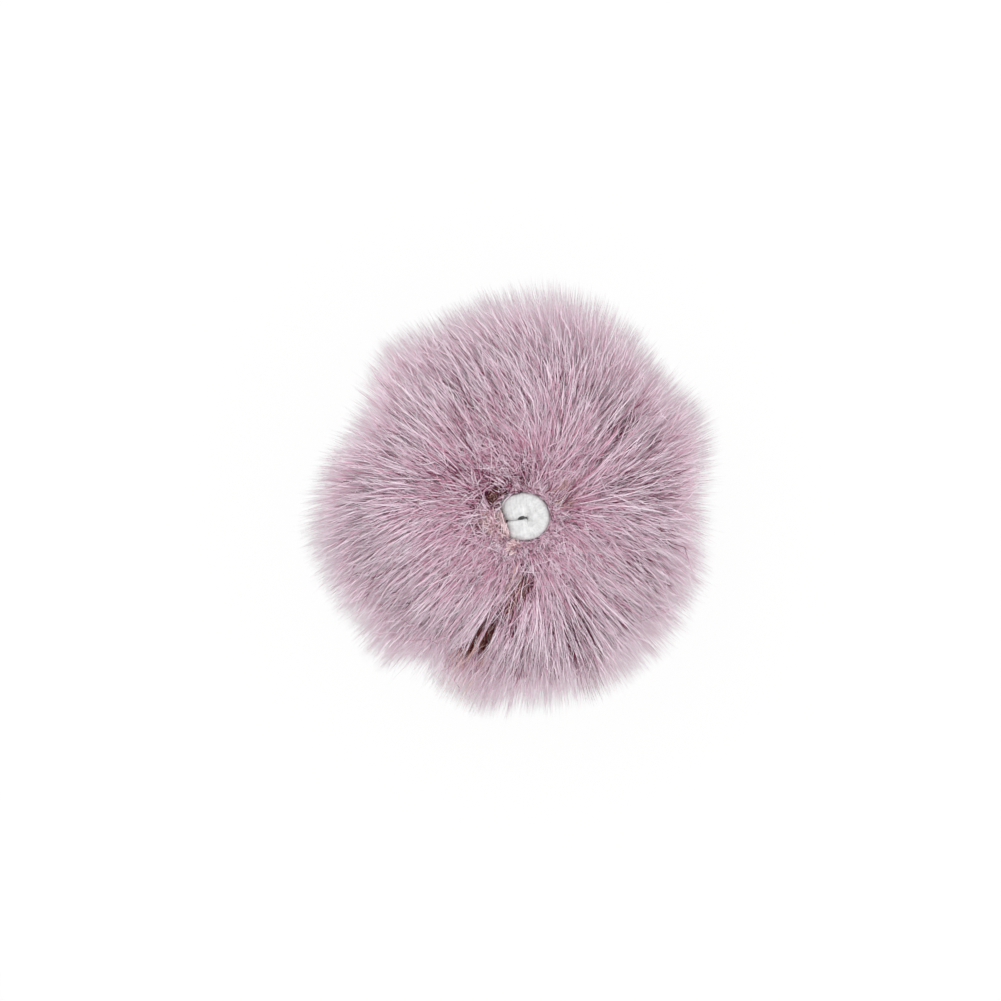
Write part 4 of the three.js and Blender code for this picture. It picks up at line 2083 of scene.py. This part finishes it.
@dataclass
class ElasticLoop:
    """The white elastic: two legs out of the gather, bent over into a ring that lies flat.

    Lengths are in millimetres. Places along the loop are measured from its legs.

    Attributes:
        radius: the elastic's radius before it is squashed.
        height: height of the ring's centre line.
        leg_half_gap: half the gap between the legs' centre lines.
        ring_radius: radius of the ring's centre line.
        ring_reach: where the ring's middle is along the loop.
        bend: radius of the bend from the legs to the ring.
        leg_radius: the elastic's radius where its legs turn down.
        side_radius: its radius at the ring's sides.
        side_place: where along the loop it starts to change from the one to the other, and how fast.
        end_radius: its radius at the ring's far end.
        end_squeeze: how much its inner side bulges there, as a share of its radius.
        squareness: how square each leg's inner side is pressed, the upper one first.
        hole: the middle and the half length of the hole left in the ring, along the loop.
        hole_edges: how far the hole opens to either side of the seam.
        hole_depth: how far below the centre line it closes.
        hole_shift: how far the seam and the hole lie off the loop's middle.
        seam_past: how far past the ring's middle the seam is pressed.
        half_width: half the loop's width, where the shift has ended.
        tuck: how far one leg is tucked under the other's edge.
        press: how far the other is pressed in.
        fuzz: how many fibres stand off the elastic.
        fuzz_bend: how far out and aside their middles lean, as shares of their length.
        fuzz_tip: the same of their tips.
        fuzz_root: how deep they start.
        fuzz_gap: how far from the loop's middle line they start.
        hidden: share of the legs' stretches that is hidden and has no fibres.
    """

    radius: float = 1.85
    height: float = 45.0
    gather: Gather = Gather()
    leg_half_gap: float = 1.9
    leg_depth: float = 11.0
    ring_radius: float = 2.2
    ring_reach: float = 2.4
    bend: float = 2.4
    leg_radius: float = 1.72
    side_radius: float = 1.76
    side_place: Pair = (-0.4, 1.6)
    end_radius: float = 1.74
    end_squeeze: float = 0.22
    squareness: Pair = (2.2, 12.0)
    hole: Pair = (1.73, 0.78)
    hole_edges: Pair = (0.46, 0.16)
    hole_depth: float = 0.9
    hole_shift: float = 0.30
    seam_past: float = 0.9
    half_width: float = 4.1
    tuck: float = 0.28
    press: float = 0.03
    sides: int = 48
    steps_per_stretch: int = 24
    fuzz: int = 2400
    fuzz_radius: float = 0.02
    fuzz_length: Pair = (0.14, 0.42)
    fuzz_bend: Pair = (0.35, 0.25)
    fuzz_tip: Pair = (0.4, 0.6)
    fuzz_root: float = 0.05
    fuzz_gap: float = 0.301
    hidden: float = 0.9
    seed: int = 5

    quarter: ClassVar[float] = 0.5523  # handle length that rounds a curve into a quarter of a circle

    def local_route(self) -> Array:
        """Works out the centre line along the loop's own axes.

        Returns:
            Its points, in millimetres.
        """
        gap, ring, reach, bend = self.leg_half_gap, self.ring_radius, self.ring_reach, self.bend
        handle, rest = self.quarter, 1 - self.quarter
        stretches = (
            ((0, gap, -self.leg_depth), (0, gap, -bend)),
            ((0, gap, -bend), (0, gap, -rest * bend), (reach * rest, ring, 0), (reach, ring, 0)),
            (
                (reach, ring, 0),
                (reach + handle * ring, ring, 0),
                (reach + ring, handle * ring, 0),
                (reach + ring, 0, 0),
            ),
        )
        line = [self._bezier(np.array(handles, float))[:-1] for handles in stretches]
        up = np.concatenate([*line, [[reach + ring, 0, 0]]])
        return np.concatenate([up, up[-2::-1] * [1, -1, 1]])

    def placed(self, points: Array) -> Array:
        """Points moved from the loop's own axes to the gather."""
        return self.gather.placed(points[..., 0], points[..., 1], points[..., 2] + self.height)

    def route(self) -> Array:
        """The centre line in place, in millimetres."""
        return self.placed(self.local_route())

    def _bezier(self, handles: Array) -> Array:
        """Works out one stretch.

        Args:
            handles: the two ends of a line, or a curve's four handles.

        Returns:
            Its points.
        """
        share = np.linspace(0, 1, self.steps_per_stretch)[:, None]
        power = len(handles) - 1
        weights = (math.comb(power, i) * (1 - share) ** (power - i) * share**i for i in range(power + 1))
        return sum(weight * handle for weight, handle in zip(weights, handles))

    @staticmethod
    def _across(line: Array) -> tuple[Array, Array]:
        """Works out two directions across a line.

        Args:
            line: its points.

        Returns:
            The directions, carried along it without a twist.
        """
        along = unit(np.gradient(line, axis=0))
        side = np.empty_like(along)
        side[0] = unit(np.cross(along[0], [1.0, 0.0, 0.0]))
        for i in range(1, len(line)):
            side[i] = unit(side[i - 1] - along[i] * (side[i - 1] @ along[i]))
        return side, np.cross(along, side)

    def _radii(self, line: Array, out: Array, first: Array, overlap: Array) -> Array:
        """How far the elastic's skin is from its centre line, squashed where it meets itself.

        Args:
            line: the centre line.
            out: directions all round it.
            first: where it is on the loop's first side.
            overlap: how far each side reaches over the seam.

        Returns:
            One radius for each direction.
        """
        pressed = 1 - eased(line[:, 0] - self.hole[0])[:, None]
        start, length = self.side_place
        bent = eased((line[:, 0] - start) / length)
        far = eased((line[:, 0] - self.ring_reach) / self.ring_radius)[:, None]
        radius = (self.leg_radius + (self.side_radius - self.leg_radius) * bent)[:, None]
        radius = radius + (self.end_radius - self.side_radius) * far
        inward = np.array([self.ring_reach, 0.0]) - line[:, :2]
        inward[line[:, 0] < self.ring_reach, 0] = 0
        facing = np.clip(np.sum(out[:, :, :2] * unit(inward)[:, None], axis=2), 0, 1)
        power = 2 + np.where(first, *self.squareness) * pressed
        rest = np.sqrt(1 - facing**2)
        corner = np.where(facing > 0, (facing**power + rest**power) ** (-1 / power), 1)
        touching = (np.abs(line[:, 1])[:, None] + overlap) / radius - 1
        bulge = touching * (1 - far) + self.end_squeeze * far
        return radius * corner * (1 + bulge * facing**2)

    def _rings(self) -> Array:
        """Works out the elastic's skin, with the seam and the hole between its two sides.

        Returns:
            Rings of points round the centre line.
        """
        line = self.local_route()
        out = round_about(*self._across(line), self.sides)
        first = (line[:, 1] >= 0)[:, None]
        hand = np.where(first, 1.0, -1.0)
        overlap = np.where(first, self.tuck, self.press)
        rings = line[:, None] + self._radii(line, out, first, overlap)[:, :, None] * out
        beside = rings[:, :, 1] * hand
        middle, half = self.hole
        lens = np.sqrt(np.clip(1 - ((rings[:, :, 0] - middle) / half) ** 2, 0, 1))
        lens *= eased(rings[:, :, 2] / self.hole_depth + 1)
        edge = np.where(first, *self.hole_edges) * lens - overlap * (1 - lens)
        within = (line[:, 0] < self.ring_reach + self.seam_past)[:, None]
        rings[:, :, 1] = np.where(within, np.maximum(beside, edge), beside) * hand
        rings[:, :, 1] -= self.hole_shift * np.clip(1 - (rings[:, :, 1] / self.half_width) ** 2, 0, 1)
        return rings

    def build(self) -> tuple[Piece, Piece]:
        """Builds the elastic and its fuzz.

        Returns:
            Their two pieces.
        """
        line, rings = self.local_route(), self._rings()
        travelled = np.cumsum(np.linalg.norm(np.diff(line, axis=0, prepend=line[:1]), axis=1))
        placed = self.placed(rings.reshape(-1, 3)).reshape(rings.shape)
        skin = Skin("elastic_loop_cover", CLOTH_MAP)
        skin.add(placed, np.arange(self.sides + 1) / self.sides * TURN * self.radius, travelled)
        return skin.piece(), self._fuzz(line, rings)

    def _fuzz(self, line: Array, rings: Array) -> Piece:
        """Fibres that stand a little off the elastic, over the part of it that shows.

        Args:
            line: the elastic's centre line, along the loop's own axes.
            rings: the rings of points round it.

        Returns:
            The fibres' piece.
        """
        rng = np.random.default_rng(self.seed)
        hidden = int(self.steps_per_stretch * self.hidden)
        row = rng.integers(hidden, len(line) - hidden, self.fuzz)
        corner = rng.integers(0, self.sides, self.fuzz)
        skin = rings[row, corner]
        out = unit(skin - line[row])
        lean = rng.normal(0, 1, (self.fuzz, 3))
        lean -= out * np.sum(lean * out, axis=1, keepdims=True)
        length = rng.uniform(*self.fuzz_length, self.fuzz)[:, None]
        root = self.placed(skin - out * self.fuzz_root)
        bend, tip = (
            self.placed(skin + length * (out * outwards + lean * aside))
            for outwards, aside in (self.fuzz_bend, self.fuzz_tip)
        )
        radius = np.full(self.fuzz, self.fuzz_radius)
        hairs = Hairs(root, bend, tip, radius, rng.uniform(0, 0.99, self.fuzz))
        shows = np.abs(skin[:, 1]) > self.fuzz_gap
        return HairBuilder.with_segments(2).build("elastic_fuzz", hairs.where(shows))

    def dress(self, cover: Piece, fuzz: Piece) -> None:
        """Gives both pieces their finish and body.

        Args:
            cover: the elastic.
            fuzz: its fibres.
        """
        hand_over(cover, ElasticFinish().material(), "elastic_loop", Slot.ELASTIC)
        hand_over(fuzz, FuzzFinish().material(), "elastic_loop", Slot.ELASTIC)
        path = self.route() * MM
        tuple(path[0])
        2 * self.radius * MM
        [tuple(p) for p in path]


# ---- studio


@dataclass
class Studio:
    """The floor, the lights and the camera, which looks straight down.

    Attributes:
        waist: height of the ball's widest place, in metres.
        field_width: width of what the camera sees at that height, in metres.
        aim: the point on the floor under the camera, in metres.
        room: strength of the even light from all round.
        floor_half: half the floor's side, in metres.
    """

    waist: float
    field_width: float = 0.1705
    aim: Pair = (-0.0019, -0.0004)
    lens: float = 100.0
    sensor: float = 36.0
    room: float = 1.15
    floor_half: float = 1.5

    def floor(self) -> None:
        """Lays the pale floor."""
        mesh = bmesh.new()
        bmesh.ops.create_grid(mesh, x_segments=1, y_segments=1, size=self.floor_half)
        data = bpy.data.meshes.new("floor")
        mesh.to_mesh(data)
        mesh.free()
        data.materials.append(FloorFinish().material())
        add_object("floor", data)

    def camera(self) -> None:
        """Sets the camera up."""
        data = bpy.data.cameras.new("camera")
        data.lens = self.lens
        data.sensor_width = self.sensor
        distance = self.field_width * self.lens / self.sensor
        camera = add_object("camera", data)
        camera.location = (*self.aim, self.waist + distance)
        bpy.context.scene.camera = camera

    def lamp(self, name: str, place: tuple[float, float, float], size: float, power: float) -> None:
        """Hangs a soft square lamp that shines at the ball.

        Args:
            name: the lamp's name.
            place: where it hangs, in metres.
            size: its side, in metres.
            power: its power, in watts.
        """
        data = bpy.data.lights.new(name, "AREA")
        data.shape = "SQUARE"
        data.size = size
        data.energy = power
        lamp = add_object(name, data)
        lamp.location = place
        aim = Vector((0, 0, self.waist)) - Vector(place)
        lamp.rotation_euler = aim.to_track_quat("-Z", "Y").to_euler()

    def world(self) -> None:
        """Lights the room evenly, and shows it to the camera as white."""
        tree = ShaderTree(bpy.data.worlds.new("studio"))
        seen = tree.add("ShaderNodeLightPath", output="Is Camera Ray")
        strength = tree.add("ShaderNodeMapRange", inputs={"Value": seen, "To Min": self.room, "To Max": 1.0})
        light = tree.add("ShaderNodeBackground", inputs={"Color": WHITE, "Strength": strength})
        tree.surface("ShaderNodeOutputWorld", light)
        bpy.context.scene.world = tree.owner

    def build(self) -> None:
        """Builds the studio."""
        self.camera()
        self.floor()
        self.world()
        self.lamp("key", (-0.25, 0.30, 0.75), 0.45, 1.0)
        self.lamp("fill", (0.45, -0.25, 0.55), 0.6, 0.5)
        bpy.context.scene.view_settings.view_transform = "Standard"
        LOG.info("studio: built")


def main() -> None:
    """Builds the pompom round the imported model."""
    logging.basicConfig(level=logging.INFO, format="%(message)s")
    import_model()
    low, high = (np.array(corner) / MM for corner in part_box("fur_ball"))
    loop = ElasticLoop()
    fur = FurBall(low, high, loop.route())
    Studio(waist=fur.waist_height * MM).build()
    loop.dress(*loop.build())
    fur.dress(fur.build(), FurFinish())
    ground = Ground(fur)
    ground.dress(ground.build(), KnitFinish())
    edge = FrayedEdge(ground)
    edge.dress(edge.build(), YarnFinish())


if __name__ == "__main__":
    main()
